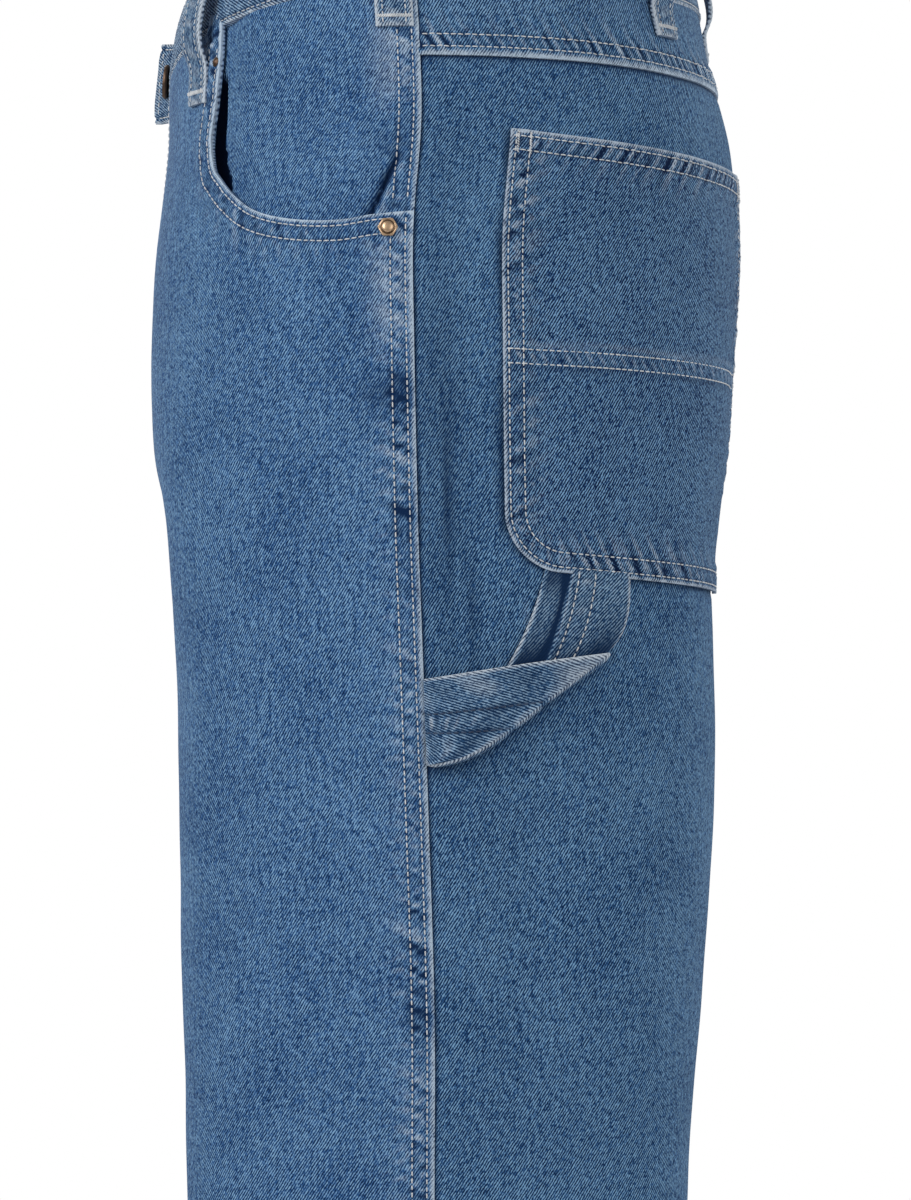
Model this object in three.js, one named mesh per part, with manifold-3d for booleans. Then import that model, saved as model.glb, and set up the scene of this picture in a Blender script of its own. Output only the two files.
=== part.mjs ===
// Denim work jeans in their worn shape, hollow, with no wearer. Millimetres, +Z up.
// The front faces -Y and the wearer's left is +X. The origin is the middle of the waist opening.
import * as THREE from "three";
import { mergeVertices } from "three/addons/utils/BufferGeometryUtils.js";
import Module from "manifold-3d";

// Cloth
const CLOTH = 1.8;
const SEAM_GAP = 0.3;
const POCKET_LIFT = 0.85;
const RING_POWER = 2 / 2.2;

// Heights, measured down from the top of the waistband at the side
const BAND_HEIGHT = 38;
const FRONT_DIP = 40;
const BACK_LIFT = 6;
const YOKE_SIDE_Z = -70;
const YOKE_BACK_Z = -73;
const HIP_ROW_Z = -150;
const CROTCH_Z = -290;
const HEM_Z = -1065;
const RISE_HEIGHT = { front: 90, back: 108 };

// Waistband
const BAND_PROUD = 0.8;
const BAND_THICK = 3;
const TAB_REACH = 14;
const TAB_LIFT = 3.5;

// Grid of a panel: columns round the body, rows where the shape turns
const COLUMNS = 18;
const PANEL_ROW_Z = [
  HIP_ROW_Z, -176, -200, -222, -242, -259.5, -273, -283, -288.3, CROTCH_Z, -300, -325,
  -365, -420, -490, -570, -660, -760, -860, -960, HEM_Z,
];

// Rows of numbers under named columns
function table(names, rows) {
  const keys = names.split(" ");
  return rows.map((row) => Object.fromEntries(keys.map((key, i) => [key, row[i]])));
}

// Cross-sections: deepest point of front and back, widest point, and the middle of the leg.
// inner is the inside of the leg and seam is where the side seam and the inseam run.
const SECTIONS = table("z front back side axis inner seam", [
  [15, -113, 110, 144, 5, 0, -15],
  [-30, -129, 123, 155, 10, 0, -15],
  [-60, -134, 128, 163, 20, 0, -13],
  [-100, -135, 137, 172, 30, 0, -12],
  [-150, -139, 138, 182, 50, 0, -15.5],
  [-200, -140, 134, 189, 70, 0, -15],
  [-250, -137, 129, 191, 88, 0, -14],
  [-290, -131, 124, 191, 97, 0.15, -13],
  [-330, -127, 124, 191, 98, 6, -11.5],
  [-400, -125, 125, 190, 100, 14, -9],
  [-500, -123, 119, 185, 104, 25, -6],
  [-590, -120, 114, 179, 107, 37, -6],
  [-700, -116, 110, 175, 109, 44, -5],
  [-850, -111, 104, 173, 111, 49, -3],
  [-1065, -98, 93, 172, 112, 52, 0],
]);

// Soft vertical troughs and ridges: middle line as distance from the side seam, with its slant
const FOLDS = table("side face arc lean top bottom width depth", [
  [1, "back", 22, 0, -125, -405, 9, -1.8],
  [1, "back", 46, 4, -320, -560, 14, -2.2],
  [1, "back", 95, 8, -330, -620, 22, 2.0],
  [1, "back", 150, 10, -420, -800, 26, -2.4],
  [1, "front", 19, -6, -168, -232, 9, -2.0],
  [1, "front", 170, 12, -240, -330, 16, -2.2],
  [1, "front", 120, -10, -520, -900, 30, 2.2],
  [-1, "back", 26, 0, -130, -360, 10, -1.6],
  [-1, "back", 60, -4, -340, -600, 15, -2.2],
  [-1, "back", 128, 8, -400, -760, 26, 2.3],
  [-1, "front", 24, 5, -160, -240, 10, -1.8],
  [-1, "front", 176, 12, -236, -322, 15, -2.4],
  [-1, "front", 105, 8, -560, -930, 30, 2.0],
]);

const rad = THREE.MathUtils.degToRad;
const lerp = THREE.MathUtils.lerp;
const smooth = (x) => THREE.MathUtils.smoothstep(x, 0, 1);

// Smooth value of one column of a table at a height, by cubic pieces with even slopes
function columnAt(rows, key, z) {
  const last = rows.length - 1;
  const i = Math.min(Math.max(rows.findIndex((row) => row.z <= z) - 1, 0), last - 1);
  const k = z <= rows[last].z ? last - 1 : i;
  const slope = (j) => {
    const a = rows[Math.max(j - 1, 0)];
    const b = rows[Math.min(j + 1, last)];
    return (b[key] - a[key]) / (b.z - a.z);
  };
  const span = rows[k + 1].z - rows[k].z;
  const t = Math.min(Math.max((z - rows[k].z) / span, 0), 1);
  const h = t * t * (3 - 2 * t);
  const bend = t * (1 - t) * span;
  return lerp(rows[k][key], rows[k + 1][key], h) + bend * ((1 - t) * slope(k) - t * slope(k + 1));
}

const sections = new Map();
function sectionAt(z) {
  const id = z.toFixed(3);
  if (!sections.has(id)) {
    const keys = ["front", "back", "side", "axis", "inner", "seam"];
    sections.set(id, Object.fromEntries(keys.map((key) => [key, columnAt(SECTIONS, key, z)])));
  }
  return sections.get(id);
}

// Share of the depth that the centre seam keeps: 1 on the body, a quarter ellipse down to the crotch
function centreShare(face, z) {
  const drop = (CROTCH_Z + RISE_HEIGHT[face] - z) / RISE_HEIGHT[face];
  return Math.sqrt(Math.max(0, 1 - Math.max(drop, 0) ** 2));
}

// Point of a half ring: q runs from the side seam at 0, over the middle of the leg, to 1
function ringPoint(face, z, q) {
  const s = sectionAt(z);
  const depth = s[face] - s.seam;
  if (q <= 0.5) {
    const a = q * Math.PI;
    const x = s.axis + (s.side - s.axis) * Math.max(Math.cos(a), 0) ** RING_POWER;
    return [x, s.seam + depth * Math.sin(a) ** RING_POWER, z];
  }
  const share = z > CROTCH_Z ? centreShare(face, z) : 0;
  const end = Math.max(Math.acos(share ** (1 / RING_POWER)), 1e-3);
  const b = (2 * q - 1) * end;
  const inner = z > CROTCH_Z ? 0 : s.inner;
  const x = s.axis - (s.axis - inner) * (Math.sin(b) / Math.sin(end)) ** RING_POWER;
  return [x, s.seam + depth * Math.max(Math.cos(b), 0) ** RING_POWER, z];
}

// Length along a half ring, kept so that a distance from the side seam finds its place
const RING_STEPS = 128;
const INNER_WEIGHT = 1.8;
const rings = new Map();
function ringAt(face, z) {
  const id = face + z.toFixed(3);
  if (!rings.has(id)) {
    const along = [0];
    let last = ringPoint(face, z, 0);
    for (let i = 1; i <= RING_STEPS; i++) {
      const next = ringPoint(face, z, i / RING_STEPS);
      along.push(along[i - 1] + Math.hypot(next[0] - last[0], next[1] - last[1]));
      last = next;
    }
    rings.set(id, along);
  }
  return rings.get(id);
}

const halfGirth = (face, z) => ringAt(face, z)[RING_STEPS];

// Distance from the side seam at a share of the panel's columns. The columns of the outer leg
// stay upright, and those of the inner leg take up what the crotch adds.
function arcAt(face, z, share) {
  const outer = ringAt(face, z)[RING_STEPS / 2];
  const { axis, inner } = sectionAt(z);
  const middle = outer / (outer + INNER_WEIGHT * (axis - inner));
  if (share <= middle) return (outer * share) / middle;
  return lerp(outer, halfGirth(face, z), (share - middle) / (1 - middle));
}

// Place q on a half ring at a distance from the side seam
function placeOnRing(face, z, arc) {
  const along = ringAt(face, z);
  const target = Math.min(Math.max(arc, 0), along[RING_STEPS]);
  let low = 0;
  let high = RING_STEPS;
  while (high - low > 1) {
    const mid = (low + high) >> 1;
    if (along[mid] > target) high = mid;
    else low = mid;
  }
  return (low + (target - along[low]) / (along[high] - along[low])) / RING_STEPS;
}

// How far the folds move the cloth out, with round ends to each fold
function foldHeight(side, face, arc, z) {
  let height = 0;
  for (const fold of FOLDS) {
    if (fold.side !== side || fold.face !== face || z > fold.top || z < fold.bottom) continue;
    const down = (fold.top - z) / (fold.top - fold.bottom);
    const across = (arc - fold.arc - fold.lean * (down - 0.5)) / fold.width;
    height += fold.depth * Math.sin(Math.PI * down) ** 2 * Math.exp(-across * across);
  }
  return height;
}

// Point of the cloth's outer face at a distance from the side seam, moved out square to it
const Z_STEP = 1.5;
const Q_STEP = 0.004;
function onCloth(side, face, arc, z, out) {
  const q = placeOnRing(face, z, arc);
  const at = (place, height) => new THREE.Vector3(...ringPoint(face, height, place));
  const round = at(Math.min(q + Q_STEP, 1), z).sub(at(Math.max(q - Q_STEP, 0), z));
  const up = at(q, z + Z_STEP).sub(at(q, z - Z_STEP));
  const normal = round.cross(up).normalize();
  if (face === "front") normal.negate();
  const p = at(q, z).addScaledVector(normal, out + foldHeight(side, face, arc, z));
  p.x *= side;
  return p;
}

const skinByShare = (side, face, share, z, out) => {
  return onCloth(side, face, arcAt(face, z, share), z, out);
};

// The same past a seam: below 0 is the other face, and past the end the other side
function skin(side, face, arc, z, out) {
  if (arc < 0) return skin(side, face === "front" ? "back" : "front", -arc, z, out);
  const girth = halfGirth(face, z);
  if (arc > girth) return onCloth(-side, face, 2 * girth - arc, z, out);
  return onCloth(side, face, arc, z, out);
}

// Height of the waistband seam and of the yoke seam, by share of the half ring
function bandSeamZ(face, share) {
  if (face === "back") return -BAND_HEIGHT + BACK_LIFT * smooth(share);
  return -BAND_HEIGHT - FRONT_DIP * lerp(share ** 1.9, smooth(share), 0.4);
}
const yokeSeamZ = (share) => lerp(YOKE_SIDE_Z, YOKE_BACK_Z, smooth(share));

// Closed wall between an outer and an inner grid of points, with its four rims
function wall(rows, columns, outer, inner) {
  const width = columns + 1;
  const count = (rows + 1) * width;
  const positions = [];
  for (const face of [outer, inner]) {
    for (let i = 0; i <= rows; i++) {
      for (let j = 0; j <= columns; j++) positions.push(...face(i, j).toArray());
    }
  }
  const index = [];
  const quad = (a, b, c, d) => index.push(a, b, c, a, c, d);
  for (let i = 0; i < rows; i++) {
    for (let j = 0; j < columns; j++) {
      const a = i * width + j;
      quad(a, a + width, a + width + 1, a + 1);
      quad(count + a, count + a + 1, count + a + width + 1, count + a + width);
    }
  }
  const rim = [];
  for (let j = 0; j < columns; j++) rim.push(j);
  for (let i = 0; i < rows; i++) rim.push(i * width + columns);
  for (let j = columns; j > 0; j--) rim.push(rows * width + j);
  for (let i = rows; i > 0; i--) rim.push(i * width);
  rim.forEach((a, k) => {
    const b = rim[(k + 1) % rim.length];
    quad(a, b, count + b, count + a);
  });
  return outward(positions, index);
}

// Geometry whose faces point out, whichever way its grid ran
function outward(positions, index) {
  const at = (i) => new THREE.Vector3().fromArray(positions, 3 * i);
  let volume = 0;
  for (let i = 0; i < index.length; i += 3) {
    volume += at(index[i]).dot(at(index[i + 1]).cross(at(index[i + 2])));
  }
  if (volume < 0) index.reverse();
  const geometry = new THREE.BufferGeometry();
  geometry.setAttribute("position", new THREE.Float32BufferAttribute(positions, 3));
  geometry.setIndex(index);
  geometry.computeVertexNormals();
  return geometry;
}

// Materials
const denim = (color) => new THREE.MeshStandardMaterial({ color, roughness: 0.9, metalness: 0 });
const metal = (color) => new THREE.MeshStandardMaterial({ color, roughness: 0.4, metalness: 1 });

const jeans = new THREE.Group();
function add(name, geometry, material) {
  const mesh = new THREE.Mesh(geometry, material);
  mesh.name = name;
  jeans.add(mesh);
  return mesh;
}

const sideName = (side) => (side > 0 ? "left" : "right");

// A point next to a seam is put on the seam's own plane, so that neighbours stay parallel
function alongSeams(p, side, face, z, first, last) {
  const away = (face === "front" ? -1 : 1) * SEAM_GAP * 0.5;
  if (first || (last && z <= CROTCH_Z)) p.y = sectionAt(z).seam + away;
  if (last && z > CROTCH_Z) p.x = side * SEAM_GAP * 0.5;
  return p;
}

// Leg panels and yokes: a grid of rows at their own heights, from the side seam round
function panel(side, face, rowHeights, columns = COLUMNS) {
  const point = (out) => (i, j) => {
    const share = j / columns;
    const z = rowHeights[i](share);
    const p = skinByShare(side, face, share, z, out);
    if (i === rowHeights.length - 1 && z === HEM_Z) p.z = HEM_Z;
    return alongSeams(p, side, face, z, j === 0, j === columns);
  };
  return wall(rowHeights.length - 1, columns, point(0), point(-CLOTH));
}

// Heights between two edges of a panel, in equal steps
function stepsBetween(upper, lower, count) {
  return Array.from({ length: count }, (_, i) => (share) => {
    return lerp(upper(share), lower(share), i / count);
  });
}

const halfGap = SEAM_GAP / 2;
const levels = PANEL_ROW_Z.map((z) => () => z);
const frontTop = (share) => bandSeamZ("front", share) - halfGap;
const yokeTop = (share) => bandSeamZ("back", share) - halfGap;
const yokeLow = (share) => yokeSeamZ(share) + halfGap;
const backTop = (share) => yokeSeamZ(share) - halfGap;
const frontRows = [...stepsBetween(frontTop, levels[0], 4), ...levels];
const backRows = [...stepsBetween(backTop, levels[0], 3), ...levels];
const yokeRows = [...stepsBetween(yokeTop, yokeLow, 2), yokeLow];

// Scoop pocket mouth, an outline in the side view: y is depth and z is height.
// The part above it, up to the waistband and back to the side seam, is cut from the front.
const MOUTH_CURVE = table("y z", [
  [-103.6, -40],
  [-103.6, -64],
  [-105.7, -87],
  [-107.8, -103],
  [-106.4, -117],
  [-103.4, -122.5],
  [-97.8, -130],
  [-88.9, -138],
  [-78, -142.7],
  [-64, -145.2],
  [-48, -145.6],
  [-33, -143.4],
  [-15, -141.8],
  [20, -141],
]);
const MOUTH_TOP_Z = 30;
const CUT_NEAR_X = 55;
const CUT_DEPTH = 200;

function mouthCutter() {
  const points = MOUTH_CURVE.map((p) => new THREE.Vector2(p.y, p.z));
  const shape = new THREE.Shape();
  shape.moveTo(points[0].x, MOUTH_TOP_Z);
  points.forEach((p) => shape.lineTo(p.x, p.y));
  shape.lineTo(points[points.length - 1].x, MOUTH_TOP_Z);
  shape.closePath();
  const geometry = new THREE.ExtrudeGeometry(shape, { depth: CUT_DEPTH, bevelEnabled: false });
  const basis = new THREE.Matrix4().makeBasis(
    new THREE.Vector3(0, 1, 0),
    new THREE.Vector3(0, 0, 1),
    new THREE.Vector3(1, 0, 0),
  );
  return geometry.applyMatrix4(basis).translate(CUT_NEAR_X, 0, 0);
}

const wasm = await Module();
wasm.setup();

function toManifold(geometry) {
  const bare = geometry.clone();
  bare.deleteAttribute("normal");
  bare.deleteAttribute("uv");
  const merged = mergeVertices(bare, 1e-4);
  const vertProperties = new Float32Array(merged.attributes.position.array);
  const triVerts = new Uint32Array(merged.index.array);
  return new wasm.Manifold(new wasm.Mesh({ numProp: 3, vertProperties, triVerts }));
}

function fromManifold(solid) {
  const mesh = solid.getMesh();
  const geometry = new THREE.BufferGeometry();
  geometry.setAttribute("position", new THREE.BufferAttribute(mesh.vertProperties, 3));
  geometry.setIndex(new THREE.BufferAttribute(mesh.triVerts, 1));
  geometry.computeVertexNormals();
  return geometry;
}

function frontPanel(side) {
  const cutter = toManifold(mouthCutter());
  const whole = toManifold(panel(side, "front", frontRows));
  const placed = side > 0 ? cutter : cutter.mirror([1, 0, 0]);
  return fromManifold(whole.subtract(placed));
}

// Hip facing behind the mouth: level with the front at the side seam, lower under the mouth's edge
const FACING_LIFT_START = 11;
const FACING_LIFT_BLEND = 26;
const FACING_DROP = CLOTH + 0.8;
const FACING_LOW_Z = -168;
const FACING_COLUMNS = 11;
const FACING_ROWS = 10;

// Distance inside the mouth, negative below or before its edge
function insideMouth(y, z) {
  let nearest = Infinity;
  for (let i = 0; i + 1 < MOUTH_CURVE.length; i++) {
    const a = new THREE.Vector3(MOUTH_CURVE[i].y, MOUTH_CURVE[i].z, 0);
    const b = new THREE.Vector3(MOUTH_CURVE[i + 1].y, MOUTH_CURVE[i + 1].z, 0);
    const p = new THREE.Vector3(y, z, 0);
    const close = new THREE.Line3(a, b).closestPointToPoint(p, true, new THREE.Vector3());
    const cross = (b.x - a.x) * (z - a.y) - (b.y - a.y) * (y - a.x);
    const distance = close.distanceTo(p);
    if (distance < Math.abs(nearest)) nearest = Math.sign(cross) * distance;
  }
  return nearest;
}

function hipFacing(side) {
  const point = (under) => (i, j) => {
    const share = j / COLUMNS;
    const z = lerp(bandSeamZ("front", share) - halfGap, FACING_LOW_Z, i / FACING_ROWS);
    const flat = skinByShare(1, "front", share, z, 0);
    const inside = insideMouth(flat.y, flat.z) - FACING_LIFT_START;
    const drop = FACING_DROP * (1 - smooth(inside / FACING_LIFT_BLEND));
    const p = skinByShare(side, "front", share, z, -drop - under);
    return alongSeams(p, side, "front", z, j === 0, false);
  };
  return wall(FACING_ROWS, FACING_COLUMNS, point(0), point(CLOTH));
}

// Fly shield: the strip behind the centre front opening
const FLY_HALF_WIDTH = 20;
const FLY_LOW_Z = -200;
const FLY_ROWS = 5;
const FLY_COLUMNS = 4;

function flyShield() {
  const point = (under) => (i, j) => {
    const across = lerp(-FLY_HALF_WIDTH, FLY_HALF_WIDTH, j / FLY_COLUMNS);
    const top = bandSeamZ("front", 1) - halfGap;
    const z = lerp(top, FLY_LOW_Z, i / FLY_ROWS);
    const arc = halfGirth("front", z) - Math.abs(across);
    return skin(across < 0 ? -1 : 1, "front", arc, z, -FACING_DROP - under);
  };
  return wall(FLY_ROWS, FLY_COLUMNS, point(0), point(CLOTH));
}

// Waistband: one strip from the left end, round the back, to the right end under it
const BAND_ROWS = 2;

function waistband() {
  const stations = [{ side: -1, face: "front", beyond: TAB_REACH, lift: TAB_LIFT }];
  const lifts = [TAB_LIFT, TAB_LIFT, TAB_LIFT * 0.4];
  for (let j = COLUMNS; j >= 0; j--) {
    const lift = lifts[COLUMNS - j] ?? 0;
    stations.push({ side: 1, face: "front", share: j / COLUMNS, lift });
  }
  for (let j = 1; j <= COLUMNS; j++) stations.push({ side: 1, face: "back", share: j / COLUMNS });
  for (let j = COLUMNS - 1; j >= 0; j--) {
    stations.push({ side: -1, face: "back", share: j / COLUMNS });
  }
  for (let j = 1; j <= COLUMNS; j++) stations.push({ side: -1, face: "front", share: j / COLUMNS });
  stations.push({ side: 1, face: "front", beyond: TAB_REACH });
  const point = (under) => (i, j) => {
    const station = stations[j];
    const beyondShare = 1 - (station.beyond ?? 0) / halfGirth("front", bandSeamZ("front", 1));
    const share = station.share ?? beyondShare;
    const low = bandSeamZ(station.face, share) + halfGap;
    const z = low + BAND_HEIGHT * (1 - i / BAND_ROWS);
    const out = BAND_PROUD + (station.lift ?? 0) - under;
    return skinByShare(station.side, station.face, share, z, out);
  };
  return wall(BAND_ROWS, stations.length - 1, point(0), point(BAND_THICK));
}

// Belt loops: a flat strap over the waistband, tacked at both ends and standing off between
const LOOP_WIDTH = 17;
const LOOP_THICK = 2.2;
const LOOP_PROFILE = table("down gap", [
  [2, 1.2],
  [7, 1.3],
  [12, 6.4],
  [19, 7.6],
  [29, 7.4],
  [36, 5.6],
  [42, 1.6],
  [47, 0.7],
  [57, 0.6],
]);
const BELT_LOOPS = table("name side face arc", [
  ["belt_loop_front_left", 1, "front", 113],
  ["belt_loop_front_right", -1, "front", 113],
  ["belt_loop_side_left", 1, "front", 9.5],
  ["belt_loop_side_right", -1, "front", 9.5],
  ["belt_loop_back_left", 1, "back", 128],
  ["belt_loop_back_right", -1, "back", 128],
  ["belt_loop_centre_back", 1, "back", halfGirth("back", -30)],
]);

function beltLoop({ side, face, arc }) {
  const middle = arc / halfGirth(face, -30);
  const top = bandSeamZ(face, middle) + BAND_HEIGHT;
  const point = (lift) => (i, j) => {
    const { down, gap } = LOOP_PROFILE[i];
    const z = top - down;
    const centre = middle * halfGirth(face, z);
    return skin(side, face, centre + LOOP_WIDTH * (j / 2 - 0.5), z, gap + lift);
  };
  return wall(LOOP_PROFILE.length - 1, 2, point(LOOP_THICK), point(0));
}

// Back pocket: corners by distance from the side seam and height, with round lower corners
const POCKET = { nearTop: 41, farTop: 211, nearLow: 39, farLow: 205 };
const POCKET_TOP_Z = { near: -104, far: -113 };
const POCKET_LOW_Z = { near: -301, far: -314 };
const POCKET_CORNER = 25;
const POCKET_COLUMNS = 10;
const POCKET_CORNER_ANGLES = [0, 30, 60, 90];

const pocketLowZ = (arc) => {
  const across = (arc - POCKET.nearLow) / (POCKET.farLow - POCKET.nearLow);
  return lerp(POCKET_LOW_Z.near, POCKET_LOW_Z.far, across);
};

function backPocket(side) {
  const height = POCKET_TOP_Z.near - POCKET_LOW_Z.near;
  const straight = height - POCKET_CORNER;
  const rows = [0, 1, 2, 3, 4, 5].map((i) => ({ down: (i / 6) * straight, inset: 0 }));
  for (const angle of POCKET_CORNER_ANGLES) {
    const down = straight + POCKET_CORNER * Math.sin(rad(angle));
    rows.push({ down, inset: POCKET_CORNER * (1 - Math.cos(rad(angle))) });
  }
  const point = (lift) => (i, j) => {
    const down = rows[i].down / height;
    const near = lerp(POCKET.nearTop, POCKET.nearLow, down) + rows[i].inset;
    const far = lerp(POCKET.farTop, POCKET.farLow, down) - rows[i].inset;
    const arc = lerp(near, far, j / POCKET_COLUMNS);
    const across = (arc - POCKET.nearLow) / (POCKET.farLow - POCKET.nearLow);
    const top = lerp(POCKET_TOP_Z.near, POCKET_TOP_Z.far, across);
    return skin(side, "back", arc, lerp(top, pocketLowZ(arc), down), POCKET_LIFT + lift);
  };
  return wall(rows.length - 1, POCKET_COLUMNS, point(CLOTH), point(0));
}

// Hammer loop: a band from the left side seam, folded back on a slant, up to the pocket's edge.
// Each of its two edges runs from the seam to the fold line and on to the pocket.
const HAMMER_THICK = 2.4;
const HAMMER_EDGES = [
  { start: [0.5, -387], fold: [21, -384], end: [57, null], height: 9.4, rest: 3.4 },
  { start: [0.5, -350], fold: [83, -339], end: [97, null], height: 6.4, rest: 2.4 },
];
const HAMMER_COLUMNS = 4;
const HAMMER_FRONT_STEPS = 8;
const HAMMER_TURN_STEPS = 6;
const HAMMER_BACK_STEPS = 4;
const HAMMER_START_LIFT = 1.7;
const HAMMER_STAND = 8.4;
const HAMMER_SPRING = 7;
const HAMMER_END_LIFT = 2.3;
const HAMMER_END_GAP = 0.5;

function hammerLoop() {
  const mix = (a, b, w) => a.map((value, k) => lerp(value, b[k], w));
  const [low, high] = HAMMER_EDGES;
  const foldLine = new THREE.Vector2(high.fold[0] - low.fold[0], high.fold[1] - low.fold[1]);
  const away = new THREE.Vector2(-foldLine.y, foldLine.x).normalize().negate();
  const last = HAMMER_FRONT_STEPS + HAMMER_TURN_STEPS + HAMMER_BACK_STEPS;
  const point = (offset) => (i, j) => {
    const w = j / HAMMER_COLUMNS;
    const start = mix(low.start, high.start, w);
    const fold = mix(low.fold, high.fold, w);
    const height = lerp(low.height, high.height, w);
    const rest = lerp(low.rest, high.rest, w);
    let place = fold;
    let lift = height;
    let turn = 0;
    if (i <= HAMMER_FRONT_STEPS) {
      const t = (i / HAMMER_FRONT_STEPS) ** 2;
      place = mix(start, fold, t);
      const run = Math.hypot(fold[0] - start[0], fold[1] - start[1]);
      const stand = HAMMER_STAND * (1 - Math.exp((-run * t) / HAMMER_SPRING));
      const level = HAMMER_START_LIFT + stand;
      lift = lerp(level, height, smooth(t));
    } else if (i <= HAMMER_FRONT_STEPS + HAMMER_TURN_STEPS) {
      turn = (Math.PI * (i - HAMMER_FRONT_STEPS)) / HAMMER_TURN_STEPS;
      const radius = (height - rest) / 2;
      lift = rest + radius * (1 + Math.cos(turn));
      place = [fold[0] + radius * Math.sin(turn) * away.x, fold[1] + radius * Math.sin(turn) * away.y];
    } else {
      turn = Math.PI;
      const t = (i - HAMMER_FRONT_STEPS - HAMMER_TURN_STEPS) / HAMMER_BACK_STEPS;
      const arc = lerp(low.end[0], high.end[0], w);
      place = mix(fold, [arc, pocketLowZ(arc) - HAMMER_END_GAP], t);
      lift = lerp(rest, HAMMER_END_LIFT, t);
    }
    const slide = offset * Math.sin(turn);
    const arc = place[0] + slide * away.x;
    const z = place[1] + slide * away.y;
    return skin(1, "back", arc, z, lift + offset * Math.cos(turn));
  };
  return wall(last, HAMMER_COLUMNS, point(HAMMER_THICK / 2), point(-HAMMER_THICK / 2));
}

// Turned metal pieces stand square on the cloth, a small gap above it
function seat(mesh, side, face, arc, z, out) {
  const p = skin(side, face, arc, z, out);
  const normal = skin(side, face, arc, z, out + 1).sub(p);
  mesh.position.copy(p);
  mesh.quaternion.setFromUnitVectors(new THREE.Vector3(0, 1, 0), normal.normalize());
}

function turned(profile) {
  return new THREE.LatheGeometry(profile.map(([r, h]) => new THREE.Vector2(r, h)), 16);
}

const RIVET_PROFILE = [[0, 0], [4.5, 0], [4.5, 0.7], [2.9, 1], [2.4, 1.9], [0, 2.2]];
const SMALL_RIVET_PROFILE = [[0, 0], [2.6, 0], [2.6, 0.6], [1.5, 1.2], [0, 1.3]];
const BUTTON_PROFILE = [[0, 0], [4, 0], [4, 1.4], [8.5, 1.6], [8.5, 3.4], [7, 4], [0, 3.6]];
const METAL_LIFT = 0.4;

for (const side of [1, -1]) {
  const name = sideName(side);
  add(`front_${name}`, frontPanel(side), denim(0x4a6f97));
  add(`back_${name}`, panel(side, "back", backRows), denim(0x44678c));
  add(`yoke_${name}`, panel(side, "back", yokeRows), denim(0x44678c));
  add(`hip_facing_${name}`, hipFacing(side), denim(0x4d719a));
  add(`back_pocket_${name}`, backPocket(side), denim(0x406084));
  const rivet = add(`rivet_side_${name}`, turned(RIVET_PROFILE), metal(0x9a7b4f));
  seat(rivet, side, "front", 10.5, -149.5, METAL_LIFT);
  const small = add(`rivet_front_${name}`, turned(SMALL_RIVET_PROFILE), metal(0x8a5a3c));
  seat(small, side, "front", 106.8, -67, METAL_LIFT);
}
add("waistband", waistband(), denim(0x53789f));
add("fly_shield", flyShield(), denim(0x44678c));
add("hammer_loop", hammerLoop(), denim(0x55789c));
for (const loop of BELT_LOOPS) add(loop.name, beltLoop(loop), denim(0x5a7fa6));
const button = add("waist_button", turned(BUTTON_PROFILE), metal(0xa9714b));
const buttonZ = bandSeamZ("front", 1) + BAND_HEIGHT / 2;
seat(button, 1, "front", halfGirth("front", buttonZ), buttonZ, BAND_PROUD + TAB_LIFT + METAL_LIFT);

export default jeans;
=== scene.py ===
# %% [markdown]
# # Denim work jeans, hollow and in their worn shape
# A lesson in building a garment from worked-out surfaces. The frame gives the solids of the
# construction. Every visible piece of cloth is made again here as a finer shell on the same
# sections, with its seams, puckers, stitches, wear and painted shade.

# %% Load the frame
import math
import bpy
import numpy as np
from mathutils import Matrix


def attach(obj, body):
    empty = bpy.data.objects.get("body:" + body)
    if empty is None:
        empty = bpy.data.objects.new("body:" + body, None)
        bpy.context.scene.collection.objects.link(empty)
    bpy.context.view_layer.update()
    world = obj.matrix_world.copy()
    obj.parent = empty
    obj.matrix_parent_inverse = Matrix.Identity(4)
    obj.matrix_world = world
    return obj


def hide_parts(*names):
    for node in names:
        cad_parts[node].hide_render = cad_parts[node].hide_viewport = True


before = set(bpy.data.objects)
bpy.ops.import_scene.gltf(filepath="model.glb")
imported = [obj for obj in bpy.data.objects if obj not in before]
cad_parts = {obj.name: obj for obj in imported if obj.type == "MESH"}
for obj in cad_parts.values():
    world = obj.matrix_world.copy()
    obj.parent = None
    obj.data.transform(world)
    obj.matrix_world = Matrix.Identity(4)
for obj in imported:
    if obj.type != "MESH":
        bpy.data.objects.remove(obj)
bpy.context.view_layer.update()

MM = 0.001

# %% Helpers for numbers and lines
FAR_OFF = 99.0


def as_grids(*values):
    """The values as arrays of floats of one shape."""
    return np.broadcast_arrays(*(np.asarray(v, float) for v in values))


def path_of(across, down):
    """Line or grid of flat places from its two coordinates."""
    return np.stack(as_grids(across, down), -1)


def smooth(x):
    """Soft step from 0 to 1."""
    x = np.clip(x, 0, 1)
    return x * x * (3 - 2 * x)


def bell(x, width):
    """Bell curve that falls to about a third at the width."""
    return np.exp(-((x / width) ** 2))


def flat_bell(x, width):
    """The same with a flat top and steeper sides."""
    return np.exp(-((x / width) ** 4))


def lengths_along(points):
    """Length along a line of points, at each of them."""
    return np.concatenate([[0], np.cumsum(np.linalg.norm(np.diff(points, axis=0), axis=1))])


def line_at(at, along, line):
    """Points of a line, straight between its own points, which lie at the lengths along."""
    return np.stack([np.interp(at, along, line[:, k]) for k in range(line.shape[1])], -1)


def soften(line, count):
    """Running average of a line over count points, with less weight for the outer ones."""
    kernel = np.hanning(count) / np.hanning(count).sum()
    return np.stack([np.convolve(line[:, k], kernel, "valid") for k in (0, 1)], 1)

# %% [markdown]
# ## The shape of the body of cloth
# Trousers are tubes, so their form is a stack of cross-sections. Each row below gives, at one
# height in millimetres, the deepest point of the front and of the back, the widest point at the
# side, the middle of the leg, the inside of the leg, and the line of the seams. Cubic pieces
# join the rows, so the silhouette has no corners. The rows repeat those of the construction.

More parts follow.
